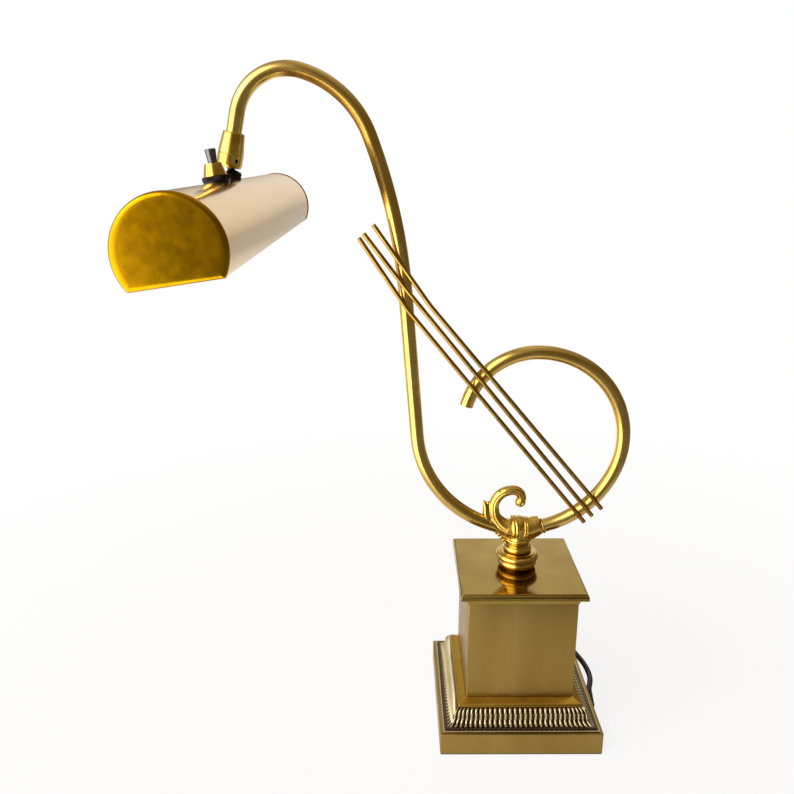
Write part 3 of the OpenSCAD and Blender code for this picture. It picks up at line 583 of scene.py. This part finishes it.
def make_plug():
    """A moulded two-blade plug: flat grip, waist, and a ribbed neck for the cord."""
    outline = [(-26, 8.5, 3.6), (-26, 11.2, 4.9), (-25.3, 11.9, 5.4), (-19, 12, 5.5),
               (-17.4, 11.7, 5.3), (-16.6, 9.6, 4.9), (-15, 9.0, 4.8), (-12, 8.9, 4.7),
               (-10.6, 8.2, 4.5), (-9.8, 5.4, 4.1), (-9.3, 4.1, 3.9)]
    for i in range(5):
        x, r = -8.8 + 1.9 * i, 4.0 - 0.15 * i
        outline += [(x, r, r), (x + 0.9, r, r), (x + 1.1, r - 0.7, r - 0.7),
                    (x + 1.7, r - 0.7, r - 0.7)]
    outline += [(0, 3.2, 3.2), (0, 2.8, 2.8)]
    neck = -9.5
    body = skin([plug_ring(x, y, z, 4.5 if x < neck else 2) for x, y, z in outline])
    plug = make("plug_body_moulded", body, "cord", nodes=["plug_body"])
    blades, inner, hole = [], [], []
    for a in np.linspace(0, 2 * math.pi, 32, endpoint=False):
        c, s = math.cos(a), math.sin(a)
        k = (abs(c) ** 7 + abs(s) ** 7) ** (-1 / 7)
        inner.append((8.25 * k * c, 3.2 * k * s))
        hole.append((-5 + 1.6 * c, 1.6 * s))
    for side in (-1, 1):
        y = PLUG_AT[1] + side * 6.35
        rings = [[(PLUG_AT[0] - 34.25 + u, y + w, PLUG_AT[2] + v) for u, v in ring]
                 for ring, w in ((hole, -0.75), (inner, -0.75), (inner, 0.75), (hole, 0.75))]
        blades.append(skin(rings, loop=True))
    pins = make("plug_blades_drilled", join(*blades), "nickel", nodes=["plug_blades"])
    return [plug, pins]


def make_cord():
    """The cord from its ribbed strain relief in the slab's wall to its plug, on one route."""
    relief = [(0, -3.2), (1.4, -3.05), (2.6, -2.3), (3.35, -1.2), (3.6, 0.0)]
    for i in range(7):
        along, r = 0.6 + 2.9 * i, RELIEF_R - 0.075 * i
        relief += [(r, along), (r, along + 1.9), (r - 0.55, along + 2.1), (r - 0.55, along + 2.7)]
    relief += [(3.05, RELIEF_LEN - 0.6), (3.0, RELIEF_LEN - 0.1), (2.7, RELIEF_LEN),
               (0, RELIEF_LEN)]
    along_wall = posed(RELIEF_FROM, -RELIEF_TURN, "Z") @ Matrix.Rotation(-math.pi / 2, 4, "X")
    out_of_wall = posed((71.5, *RELIEF_FROM[1:]), 90, "Y")
    collar = [(0, 0), (4.0, 0), (4.0, 2), (2.8, 2.05), (2.8, 3.45), (4.1, 3.5), (4.4, 3.8),
              (4.4, 4.5), (4.1, 4.9), (3.2, 5.2), (2.9, 7.5), (0, 7.5)]
    make("strain_relief_ribbed", join(turned(relief, 40, matrix=along_wall),
                                      turned(collar, 40, matrix=out_of_wall)),
         "cord", nodes=["strain_relief"])
    step = np.array([0, 5.0, 0])
    coil = [coil_point(i / 24) for i in range(24 * 2 * COIL_TURNS + 1)]
    route = [RELIEF_TIP, *LEAD, COIL_IN - step, *coil, COIL_IN + step + (0, 0, COIL_RISE),
             *TAIL, PLUG_AT]
    path = smooth_path(route, 2.0)
    tube = rod(path, [CORD_R] * len(path), 16)
    cord = make("mains_cord", tube, "cord", nodes=["cord_lead", "cord_coil", "cord_tail"])
    make_plug()


# ---- Base ----
OGEE_FOOT, OGEE_MIDDLE, OGEE_TURN = 68.3, 31.6, 0.44
# Columns of points to a reed, and its width as a share of the spacing
REED_COLUMNS, REED_WIDTH = 14, 0.54
# Where a reed keeps its lit band, across it, on the front, right, back and left, and how far from
# there until the painted shade begins and until it is full. The painted shade darkens each reed
# towards its grooves, and on the right and left sides the lit band is moved off the reed's middle.
REED_LIT, REED_SHADE_FROM, REED_SHADE_OVER, REED_SHADE_MOST = (0, -0.28, 0, 0.28), 0.16, 0.36, 0.97


def ogee(share):
    """Half width and height of the reeded moulding, from its foot (0) to its top (1)."""
    if share < OGEE_TURN:
        a = math.radians(270 - 90 * share / OGEE_TURN)
        return OGEE_FOOT + 5.3 * math.cos(a), OGEE_MIDDLE + 6.3 * math.sin(a)
    a = math.radians(90 * (share - OGEE_TURN) / (1 - OGEE_TURN))
    return 58.2 + 4.8 * math.cos(a), OGEE_MIDDLE + 7.2 * math.sin(a)


def reed_side(count=29, columns=REED_COLUMNS, rows=30, depth=0.6, fan=3.5):
    """One side of the reeded moulding, which faces -Y, cut to the mitres. Reeds fan at its ends."""
    rings = []
    for i in range(rows + 1):
        share = i / rows
        half, z = ogee(share)
        ahead, behind = ogee(min(1, share + 0.01)), ogee(max(0, share - 0.01))
        n = np.array([ahead[1] - behind[1], behind[0] - ahead[0]])
        n /= np.linalg.norm(n)
        swell = min(1, share / 0.07, 0.5 + (1 - share) / 0.04) ** 0.5
        row = []
        for k in range(count * columns + 1):
            u = -1 + 2 * k / (count * columns)
            x = u * OGEE_FOOT - math.copysign((OGEE_FOOT - half) * abs(u) ** fan, u)
            part = ((k % columns) / columns * 2 - 1) / REED_WIDTH
            dip = depth * (1 - swell * math.sqrt(max(0, 1 - part ** 2)))
            row.append((x, -(half - dip * n[0]), z - dip * n[1]))
        rings.append(row)
    return np.array(rings)


def reeded_ring():
    """The four sides, joined at the mitres, closed below and inside to a solid frame."""
    side = reed_side()
    for row in side:
        half = -row[0][1]
        row[0][0], row[-1][0] = -half, half
    count = side.shape[1]
    rings = []
    for row in side:
        ring = []
        for c, s in [(1, 0), (0, 1), (-1, 0), (0, -1)]:
            ring += [(c * x - s * y, s * x + c * y, z) for x, y, z in row[: count - 1]]
        rings.append(ring)
    top, bottom = np.array(rings[-1]), np.array(rings[0])
    inner_top = [(x * 0.92, y * 0.92, 38.5) for x, y, z in top]
    inner_low = [(x * 0.90, y * 0.90, 24.6) for x, y, z in bottom]
    # painted shade: darkest in the grooves between the reeds, and light on each reed's lit band
    along = [k % REED_COLUMNS / REED_COLUMNS * 2 - 1 for k in range(count - 1)]
    grime = [REED_SHADE_MOST * min(1, max(0, (abs(a - lit_middle) - REED_SHADE_FROM) / REED_SHADE_OVER))
             for lit_middle in REED_LIT for a in along]
    return skin([*rings, inner_top, inner_low], loop=True), grime * (len(rings) + 2)


def make_base():
    """Slab, reeded moulding with its steps, slope, column and top plate, outlined by half width."""
    slab = square_shell([(75, 1), (75, 22), (44, 22), (44, 20.5), (73.5, 20.5), (73.5, 1)],
                        1.0, 0.5)
    make("slab_brass", slab, "satin", nodes=["plinth"])
    steps = square_shell([(72.4, 22), (72.4, 23.2), (71.9, 23.5), (70.5, 23.5), (70.2, 23.8),
                          (70.2, 24.6), (69.8, 24.9), (68.0, 24.9), (60, 24.8), (60, 22)],
                         0.5, 0.15)
    reeds, reeds_shade = reeded_ring()
    # painted shadow: the inner step, under the reeds' foot, is darkened, and the outer one only a
    # little
    steps_shade = [0.9 if max(abs(x), abs(y)) < 70.6 and z > 22.5 else 0.1 for x, y, z in steps[0]]
    make("reeded_moulding", join(steps, reeds), "reeds", nodes=["fluted_band"], sharp=50,
         grime=steps_shade + reeds_shade)
    outline = [(58.0, 37.6), *arc((55.2, 39.0), 2.8, 2.8, 0, 66, 8), (50.4, 44.4), (48, 44.4),
               (48, 37.6)]
    slope = square_shell(outline, 0.4, 0.2)
    # painted shade: the slope darkens towards its lower edge, to half at most
    make("slope_brass", slope, "moulding", nodes=["slope_moulding"],
         grime=[0.5 * min(1, max(0, (41.6 - z) / 1.2)) for z in slope[0][:, 2]])
    column = square_shell([(50, 44.4), (50, 143), (48.5, 143), (48.5, 44.4)], 0.9, 0.3)
    make("column_brass", column, "satin", nodes=["column_box"])
    lip = [*arc((57, 143.7), 6.2, 5.5, 180, 92, 8), (57.5, 149.3), (57.5, 150.6), (57.1, 150.9),
           (57.1, 151.1), (57.5, 151.4), *arc((56.1, 151.4), 1.4, 3, 8, 90, 6), (55.6, 154.45),
           (55.3, 155.1), (54.9, 155.3)]
    face = [(54.4, 155.3), (46.4, 151.3), (46.4, 137), (48.4, 137), (48.4, 143), (50.8, 143)]
    walls = skin([square_ring(h, z, 0.5) for h, z in [*lip, *face]], loop=True)
    panel = skin([square_ring(h, z, 0.5) for h, z in ((46.4, 151.3), (54.4, 155.3), (5.2, 155.3),
                                                      (5.2, 151.3))], loop=True)
    make("plate_brass_top", join(walls, panel), "plate", nodes=["top_plate"], sharp=24)


def pedestal_outline():
    """The turned foot: the outermost of its cones and rolls at each height."""
    cone = [(155.3, 14), (157.5, 15.5), (159, 15.5), (166.8, 18), (170.2, 15.2), (170.8, 16.3),
            (171.6, 16.3), (172.0, 12.6), (178.4, 10.6), (180.6, 10.9), (182.6, 12.3)]
    rolls = [(160.5, 14.6, 3.6), (167.2, 16.8, 3.2), (174.8, 10.3, 3.1)]
    made = []
    for z in np.arange(155.3, 182.61, 0.13):
        r = float(np.interp(z, [c[0] for c in cone], [c[1] for c in cone]))
        for at, out, size in rolls:
            if abs(z - at) < size:
                r = max(r, out + math.sqrt(size ** 2 - (z - at) ** 2))
        for at in (163.9, 170.2, 172.2, 177.5):
            r -= 0.5 * math.exp(-((z - at) / 0.3) ** 2)
        made.append((r, z))
    return made


# ---- Cast holder ----
def scroll_section(radius, groove, sides=48):
    """A bar's outline, front and back alike: a round outer bead, a groove, a flatter strip."""
    made = []
    for a in np.linspace(0, 2 * math.pi, sides, endpoint=False):
        across, front = math.cos(a) - 0.12, abs(math.sin(a))
        cut = groove * math.exp(-(across / 0.10) ** 2)
        flat = 0.14 * groove / 0.9 * max(0.0, across)
        r = radius * (1 - flat * front) - cut * front
        made.append((r * math.cos(a), r * math.sin(a)))
    return np.array(made)


def scroll_path():
    """From inside the body up round the C and into its curled tip: points and half-widths."""
    low = [((-3, 194.2), 8.8), ((-6, 194.0), 8.7), ((-11.0, 194.7), 8.3), ((-15.4, 197.2), 7.4),
           ((-19.4, 201.4), 6.3), ((-22.6, 207), 5.5), ((-24.0, 215.3), 5.1)]
    curve = bent_path(-24.0, 215.3, 90, [(17.3, -90), (8.7, -96)], 1.5)[1:]
    points = [(x, 0, z) for (x, z), _ in low] + [tuple(p) for p in curve]
    widths = [w for _, w in low] + list(np.linspace(5.05, 4.4, len(curve)))
    path = smooth_path(points, 1.0)
    at = np.r_[0, np.cumsum(np.linalg.norm(np.diff(np.array(points), axis=0), axis=1))]
    along = np.r_[0, np.cumsum(np.linalg.norm(np.diff(path, axis=0), axis=1))]
    return path, np.interp(along, at, widths)


def make_holder():
    """The casting: its forms are joined, remeshed to one skin, and softened as a casting is."""
    path, bar = scroll_path()
    share = np.linspace(0, 1, len(path))
    outlines = []
    for r, s in zip(bar, share):
        outline = scroll_section(r, 0.9 * min(1, s * 6))
        outline[:, 1] *= 1 + 0.3 * max(0, 1 - s / 0.4)
        outlines.append(outline)
    scroll = skin(rings_along(path, outlines))
    body = [scroll, ball((0.4, 0, 195.0), (9.0, 10.6, 11.4)),
            turned([(0, 182.6), (12.4, 182.6), (12.9, 183.4), (12.4, 184.3), (11.4, 184.9),
                    (10.6, 187), (10.2, 192), (0, 193)], 64)]
    # the stem ends in the scroll's back
    body.append(rod(bent_path(*STEM_FOOT)[-STEM_SUNK:], np.linspace(6.3, 7.0, STEM_SUNK)))
    body.append(ball((-14, 0, 195.6), (7, 7, 6.8)))
    # right socket, which sweeps down to the foot
    rings = []
    for x, z, high, wide, tilt in ((2, 193.6, 11.4, 9.6, 0), (8, 192.9, 11.0, 9.5, 3),
                                   (12.7, 194.2, 10.9, 9.1, 8), (16.8, 196.0, 10.0, 8.7, 13),
                                   (19.6, 197.2, 8.9, 8.3, 16), (20.4, 197.5, 8.3, 7.9, 17)):
        lean = math.radians(tilt)
        rings.append([(x - high * math.sin(a) * math.sin(lean), wide * math.cos(a),
                       z + high * math.sin(a) * math.cos(lean))
                      for a in np.linspace(0, 2 * math.pi, 64, endpoint=False)])
    body.append(skin(rings))
    # the lip round the loop's tube
    body.append(turned([(0, 0), (7.4, 0), (6.5, 0.6), (6.5, 1.2), (7.5, 1.7), (7.5, 2.9),
                        (7.1, 3.3), (0, 3.3)], 64, matrix=posed((20.6, 0, 195.7), 72.5, "Y")))
    # ribbon of two broad strands that bulge to the right, and two thin lines beside the socket
    for at, thick, out in ((-6.6, 1.7, 10.2), (-3.8, 1.5, 10.6), (5.5, 0.6, 10.6),
                           (7.4, 0.6, 10.6)):
        turns = np.linspace(0, 2 * math.pi, 120)
        if at < 0:
            lean = [1.7 * abs(math.sin(a)) - 3.2 * max(0, -math.cos(a) - 0.45) for a in turns]
        else:
            lean = [0.3 * math.cos(a) for a in turns]
        ring = [(at + move, out * math.sin(a), 194.2 + out * math.cos(a))
                for a, move in zip(turns, lean)]
        body.append(rod(ring, [thick] * len(ring), 14))
    # acanthus leaf on the scroll's back: a blade with two tips
    for points, thick, deep in (
            ([(-24, 0, 196), (-27.5, 0, 201), (-30.2, 0, 206), (-31.2, 0, 211), (-31.6, 0, 216.5),
              (-33.6, 0, 222)], 3.3, 4.4),
            ([(-25, 0, 200), (-28.2, 0, 205), (-29.0, 0, 211), (-29.2, 0, 216.5),
              (-29.6, 0, 221.4)], 2.4, 3.4)):
        leaf = smooth_path(points, 0.8)
        share = np.linspace(0, 1, len(leaf))
        body.append(skin(rings_along(leaf, [
            circle(1, 24) * (thick * (1 - 0.70 * t ** 6), deep * (1 - 0.66 * t ** 4))
            for t in share])))
    # stalk with lozenge leaflets, from the leaf down to the foot
    stalk = np.linspace((-27.6, 0, 201.0), (-11.4, 0, 182.6), 24)
    body.append(rod(stalk, np.linspace(1.9, 2.8, 24)))
    for i in range(8):
        x, z, size = -29.2 + 2.35 * i, 199.6 - 2.75 * i, 2.7 - 0.13 * i
        for y in (-1, 1):
            turn = Matrix.Translation((x + 0.8, y * 3.4, z)) @ Matrix.Rotation(1.25, 4, "Y")
            body.append(place(ball((0, 0, 0), (size, 1.9, size * 0.6), 20), turn))
    # flesh between the stalk and the body, below a raised rib that runs into the ribbon
    flesh = smooth_path([(-20, 0, 197), (-15.5, 0, 191.8), (-10.5, 0, 188.2), (-4, 0, 186)], 1.0)
    body.append(rod(flesh, np.linspace(4.6, 8.2, len(flesh))))
    rib = smooth_path([(-26.8, -4.6, 202.8), (-21.4, -6.2, 195.8), (-16, -7.4, 190.2),
                       (-11.5, -8.8, 188.2), (-8, -9.8, 187.4)], 1.0)
    for side in (1, -1):
        body.append(rod(rib * (1, side, 1), np.linspace(0.9, 1.3, len(rib)), 12))
    body.append(ball((0.8, 0, 220.9), (5.1, 5.0, 5.1), 40))
    # eyelet of the curled tip
    for y in (-1, 1):
        body.append(turned([(0, 0), (2.4, 0), (2.4, 1.1), (1.9, 1.5), (1.2, 1.2), (0, 0.5)], 32,
                           matrix=posed((1.0, y * 4.2, 220.9), -90 * y, "X")))
    holder = make("holder_cast", join(*body), "cast", nodes=["clef_holder"])
    voxel = 0.36
    reshape(holder, "REMESH", mode="VOXEL", voxel_size=voxel * MM)
    bm = bmesh.new()
    bm.from_mesh(holder.data)
    for _ in range(3):
        bmesh.ops.smooth_vert(bm, verts=bm.verts, factor=0.5, use_axis_x=True, use_axis_y=True,
                              use_axis_z=True)
    bm.to_mesh(holder.data)
    bm.free()
    holder.data.shade_smooth()


# ---- Tubes and strings ----
TUBE_R, TUBE_BORE = 6.35, 5.15
STEM_RUNS = [(26, 0), (42, -93), (82, -54), (470, -16.2), (132, 0), (101, 74)]
LOOP_RUNS = [(15, 0), (92, 56), (81.5, 106), (64, 66), (90, 8)]
# The stem's last bend, and how many of its points lie in the casting
STEM_FOOT, STEM_SUNK = (-96.2, 286.05, -85.2, [(101, 74)]), 7
BALL = Vector((-252, 0, 527.5))
COLLAR_LEAN, STEM_LEAN = 12, 4
STRING_Y = -8.27
STRINGS = {
    "string_left": [(-146.4, 465), (-105.8, 404.6), (59.8, 203.7)],
    "string_middle": [(-142.4, 468.6), (-104, 418.4), (66.7, 210.1)],
    "string_right": [(-134.3, 475.8), (-86, 407.6), (75.1, 217.1)],
}


def make_string(name, route):
    """A rod through three points, with a soft bend at the middle one and rounded ends."""
    a, b, c = [np.array([x, STRING_Y, z]) for x, z in route]
    into, out = (b - a) / np.linalg.norm(b - a), (c - b) / np.linalg.norm(c - b)
    bend = 6.0
    before, after = b - bend * into, b + bend * out
    path = [a, a + 0.25 * into, a + 0.6 * into]
    path += list(np.linspace(a + 6 * into, before, 16))
    for t in np.linspace(0, 1, 9)[1:-1]:
        path.append((1 - t) ** 2 * before + 2 * t * (1 - t) * b + t * t * after)
    path += list(np.linspace(after, c - 6 * out, 40))
    path += [c - 0.6 * out, c - 0.25 * out, c]
    radii = [1.5, 1.85] + [2.0] * (len(path) - 4) + [1.85, 1.5]
    make(name + "_rod", rod(path, radii, 24), "string", nodes=[name], sharp=50)


def make_tubes():
    # the stem starts in the upper collar, 12 mm above the ball's centre
    lean = math.radians(90 - COLLAR_LEAN)
    start = (BALL.x + 12 * math.cos(lean), BALL.z + 12 * math.sin(lean))
    stem = bent_path(*start, 90 - COLLAR_LEAN, STEM_RUNS)
    make("stem_bent", hollow(stem, TUBE_R, TUBE_BORE), "tube", nodes=["stem_tube"])
    loop = bent_path(13.7, 193.5, 17.5, LOOP_RUNS)
    make("loop_bent", hollow(loop, TUBE_R, TUBE_BORE), "tube", nodes=["loop_tube"])
    for name, route in STRINGS.items():
        make_string(name, route)


# ---- Swivel ----
AT_COLLAR, AT_STEM = posed(BALL, COLLAR_LEAN, "Y"), posed(BALL, -STEM_LEAN, "Y")


def make_swivel():
    """The two turned collars, with the set screw's hole, and the black ball with its stem."""
    upper = [(8.45, 5.15), (8.5, 8.2), (5.15, 8.25), (5.15, 12), (6.4, 12.05), (6.4, 19.4),
             (7.5, 19.8), (7.7, 22.0), (8.0, 22.2), (8.4, 22.1), (8.85, 21.4), (10.45, 5.8),
             (10.4, 5.15)]
    make("collar_upper_turned", turned(soften(upper, 0.25), 96, True, AT_COLLAR), "turned",
         nodes=["upper_collar"])
    bore = arc((0, 0), 6.58, 6.58, -27, 55, 10)
    lower = soften([(6.6, 5.4), (6.6, 7.8), (8.4, 7.8), (8.4, 5.0), (10.2, 5.0), (10.48, 4.7),
                    (10.3, -3.6), (10.0, -5.2), (9.6, -5.6), (8.6, -5.6), (7.2, -4.2)], 0.2,
                   closed=False)
    lower = turned([*bore, *lower], 96, True, AT_COLLAR)
    collar = make("collar_lower_turned", lower, "turned", body="swivel",
                  nodes=["lower_collar"])
    at_hole = AT_COLLAR @ posed((0, 0, 0), -47, "Z") @ posed((4, 0, 0.4), 90, "Y")
    drill(collar, turned([(0, 0), (1.3, 0), (1.3, 5.6), (2.1, 7.4), (0, 7.4)], 32,
                         matrix=at_hole))
    stem = [(2, 6.18), *arc((0, 0), 6.5, 6.5, 71, -58, 20), (3.05, -5.9), (3.05, -7.4),
            (3.3, -7.9), (7.6, -10.7), (8.0, -11.1), (8.0, -11.7), (7.7, -11.95), (8.0, -12.2),
            (8.0, -13.3), (7.8, -13.6), (4.8, -13.6), (4.6, -14.0), (4.6, -23.6), (4.2, -24),
            (2, -24)]
    make("swivel_ball_stem", turned(stem, 96, True, AT_STEM), "black", body="shade",
         nodes=["ball_stem"])


# ---- Shade ----
SHADE_R, SHEET, DROP = 34.0, 0.8, 19.0
SHADE_Y0, SHADE_Y1 = -233.2, 206.8
CAP_T, CAP_R = 4.0, 34.6
IN_SHADE = posed((-244.3, 0, 478.4), -8.5, "Y")
BULB_Z, HOLDER_Y = -1.0, -217.2


def round_down_to(radius, drop, count):
    """The arc over the top of a circle, down to a drop below its centre on both sides."""
    a = math.degrees(math.asin(drop / radius))
    return arc((0, 0), radius, radius, -a, 180 + a, count)


def shade_section():
    """The closed cross-section: outer arc, hem turned inwards, inner arc, and the other hem."""
    inner = round_down_to(SHADE_R - SHEET, DROP - SHEET, 120)[::-1]
    edge = round_down_to(SHADE_R, DROP, 120)
    hem = 3.0
    x = edge[0][0]
    left = [(-x + hem, -DROP), (-x + hem, -DROP + SHEET)]
    right = [(x - hem, -DROP + SHEET), (x - hem, -DROP)]
    return soften([*edge, *left, *inner, *right], 0.35, steps=3)


def make_shell():
    """The rolled sheet, with dents of a few hundredths of a millimetre away from its ends."""
    section = shade_section()
    rings = []
    for y in np.linspace(SHADE_Y0 + CAP_T, SHADE_Y1 - CAP_T, 90):
        fade = min(1, (y - SHADE_Y0 - CAP_T) / 30, (SHADE_Y1 - CAP_T - y) / 30)
        ring = []
        for x, z in section:
            n = noise.noise(Vector((x * 0.035, y * 0.012, z * 0.035 + 4)))
            k = 1 - 0.0007 * fade * max(0, n + 0.2)
            ring.append((x * k, y, z * k if z > -10 else z))
        rings.append(ring)
    # the ends are closed between the two faces of the sheet, not across the opening
    points, faces = skin(rings, caps=False)
    size, count = len(section), len(rings)
    half = size // 2
    for base in (0, (count - 1) * size):
        for k in range(half - 1):
            a, b = k, size - 1 - k
            if b - a > 1:
                faces.append((base + a, base + a + 1, base + b - 1, base + b))
    make("shade_rolled", place((points, faces), IN_SHADE), "shade", body="shade",
         nodes=["shade_shell"], sharp=40)


def cap_ring(inset, y):
    """The cap's outline, moved in by the inset."""
    outline = round_down_to(CAP_R - inset, DROP - inset, 72)
    edge = soften(outline, max(0.4, 1.6 - inset * 0.5), steps=5)
    return [(x, y, z) for x, z in edge]


def make_caps():
    outline = [(18.6, 4.35), (14, 4.33), (9, 4.25), (5.5, 4.12), (3.2, 3.98), (2.3, 3.9),
               (1.3, 3.5), (0.6, 2.9), (0.2, 2.2), (0, 1.4), (0, 0.1), (0.15, 0), (1.6, 0),
               (1.6, -5.7), (1.72, -6), (2.3, -6), (2.4, -5.7), (2.4, 2.0), (3.4, 3.0),
               (18.6, 3.2)]
    for name, node_name, y, way in (("cap_near_pressed", "near_cap", SHADE_Y0 + CAP_T, -1),
                                    ("cap_far_pressed", "far_cap", SHADE_Y1 - CAP_T, 1)):
        rings = [cap_ring(inset, y + way * min(out, CAP_T)) for inset, out in outline]
        make(name, place(skin(rings), IN_SHADE), "cap", body="shade", nodes=[node_name], sharp=45)


def along_shade(x, y, z):
    """A frame in the shade whose Z runs along the shade towards +Y."""
    return IN_SHADE @ posed((x, y, z), -90, "X")


def make_lighting_parts():
    at = along_shade(0, HOLDER_Y, BULB_Z)
    socket = [(0, 0), (9.4, 0), (10, 0.6), (10, 9.5), (10.6, 10), (14.4, 10.4), (15, 11)]
    for i in range(6):
        z = 13 + 4.2 * i
        socket += [(15, z), (14.6, z + 0.5), (14.6, z + 1.1), (15, z + 1.6)]
    socket += [(15, 41.2), (14.4, 42), (13.8, 42), (13.4, 41.5), (13.4, 14), (0, 14)]
    make("lampholder_moulded", turned(socket, 64, matrix=at), "resin", body="shade",
         nodes=["lampholder"])
    base = [(0, 14), (4.5, 14.2), (4.9, 14.8), (9, 16.8), (12.2, 17.2)]
    for z in np.arange(17.6, 35.6, 0.6):
        base.append((12.7 + 0.38 * math.sin(2 * math.pi * z / 3.6), z))
    base += [(12.6, 36), (12.6, 38.9), (0, 39)]
    make("bulb_base_threaded", turned(base, 64, matrix=at), "nickel", body="shade",
         nodes=["bulb_base"])
    end = 336.0
    glass = [(0, 39), (12.2, 39), (12.4, 39.6), (12.7, 45)]
    glass += [(12.7, z) for z in np.linspace(60, end - 12.7, 12)]
    glass += arc((0, end - 12.7), 12.7, 12.7, 0, 90, 14)[1:]
    make("bulb_frosted", turned(glass, 64, matrix=at), "glass", body="shade",
         nodes=["bulb_glass"])


# ---- Rotary switch ----
AT_SWITCH = IN_SHADE @ Matrix.Translation((0, -69, SHADE_R))


def make_switch():
    """The knurled ring nut, seated on the round shade, with the brass cone and the knob."""
    ribs, each = 46, 6
    rings = []
    outline = [(5.05, 4.6), (9.2, 4.6), (9.8, 4.5), (10.2, 4.2), (10.3, 3.9), (10.3, 1.6),
               (10.1, 1.2), (9.9, 1.0), (9.9, -1.55), (5.05, -1.55)]
    for r, z in outline:
        ring = []
        for k in range(ribs * each):
            a = 2 * math.pi * k / (ribs * each)
            cut = 0.4 if 1.1 < z < 4.3 else 0.0
            out = r - cut * (0.5 - 0.5 * math.cos(ribs * a)) ** 0.7
            x, y = out * math.cos(a), out * math.sin(a)
            seat = math.sqrt((SHADE_R + 0.02) ** 2 - x ** 2) - SHADE_R
            ring.append((x, y, max(z, seat)))
        rings.append(ring)
    make("switch_ring_knurled", place(skin(rings, loop=True), AT_SWITCH), "black",
         body="shade", nodes=["switch_ring"], sharp=50)
    ferrule = soften([(5.05, 4.62), (5.05, 9.2), (4.2, 9.2), (4.2, 13.9), (6.4, 13.9),
                      (8.55, 5.4), (8.7, 4.62)], 0.35)
    make("switch_ferrule_turned", turned(ferrule, 96, True, AT_SWITCH), "turned",
         body="shade", nodes=["switch_ferrule"])
    knob = [(0, 6.4), (1.9, 6.4), (2.1, 6.7), (2.1, 13.4), (3.2, 13.4), (3.5, 13.7), (3.6, 16.6),
            (4.15, 22.8), (4.18, 23.5), (3.8, 24.1), (3.2, 24.3), (1.6, 24.15), (0, 24.1)]
    make("switch_knob_moulded", turned(soften(knob, 0.3, closed=False), 64, matrix=AT_SWITCH),
         "knob", body="knob", nodes=["switch_knob"])


# ---- CAD nodes that keep their own shape ----
KEPT = {
    "felt_pad": "felt", "iron_ballast": "iron", "tie_pipe": "steel", "pipe_washer": "steel",
    "pipe_nut": "steel", "inner_lead": "cord", "set_screw": "black", "swivel_washer": "black",
    "inner_washer": "steel", "inner_nut": "steel", "holder_bracket": "steel",
    "bracket_screws": "nickel", "switch_body": "resin", "shade_lead": "wire",
}


def dress_kept():
    for name, kind in KEPT.items():
        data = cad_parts[name].data
        data.materials.clear()
        data.materials.append(LOOK[kind])


make_camera()
make_cord()
make_world()
make_floor()
make_light("key", (-1.25, -0.75, 1.25), (-0.05, 0, 0.25), 0.7, 4.0, (1.0, 0.98, 0.94))
make_light("top", (0.1, 0.35, 1.9), (-0.05, 0, 0.2), 0.9, 0.5, (1.0, 0.98, 0.96))
make_base()
make("pedestal_turned", turned([(0, 155.31), *pedestal_outline(), (0, 182.6)]), "turned",
     nodes=["pedestal"], sharp=50)
make_holder()
make_tubes()
make_swivel()
make_shell()
make_caps()
make_lighting_parts()
make_switch()
dress_kept()

bpy.context.view_layer.update()
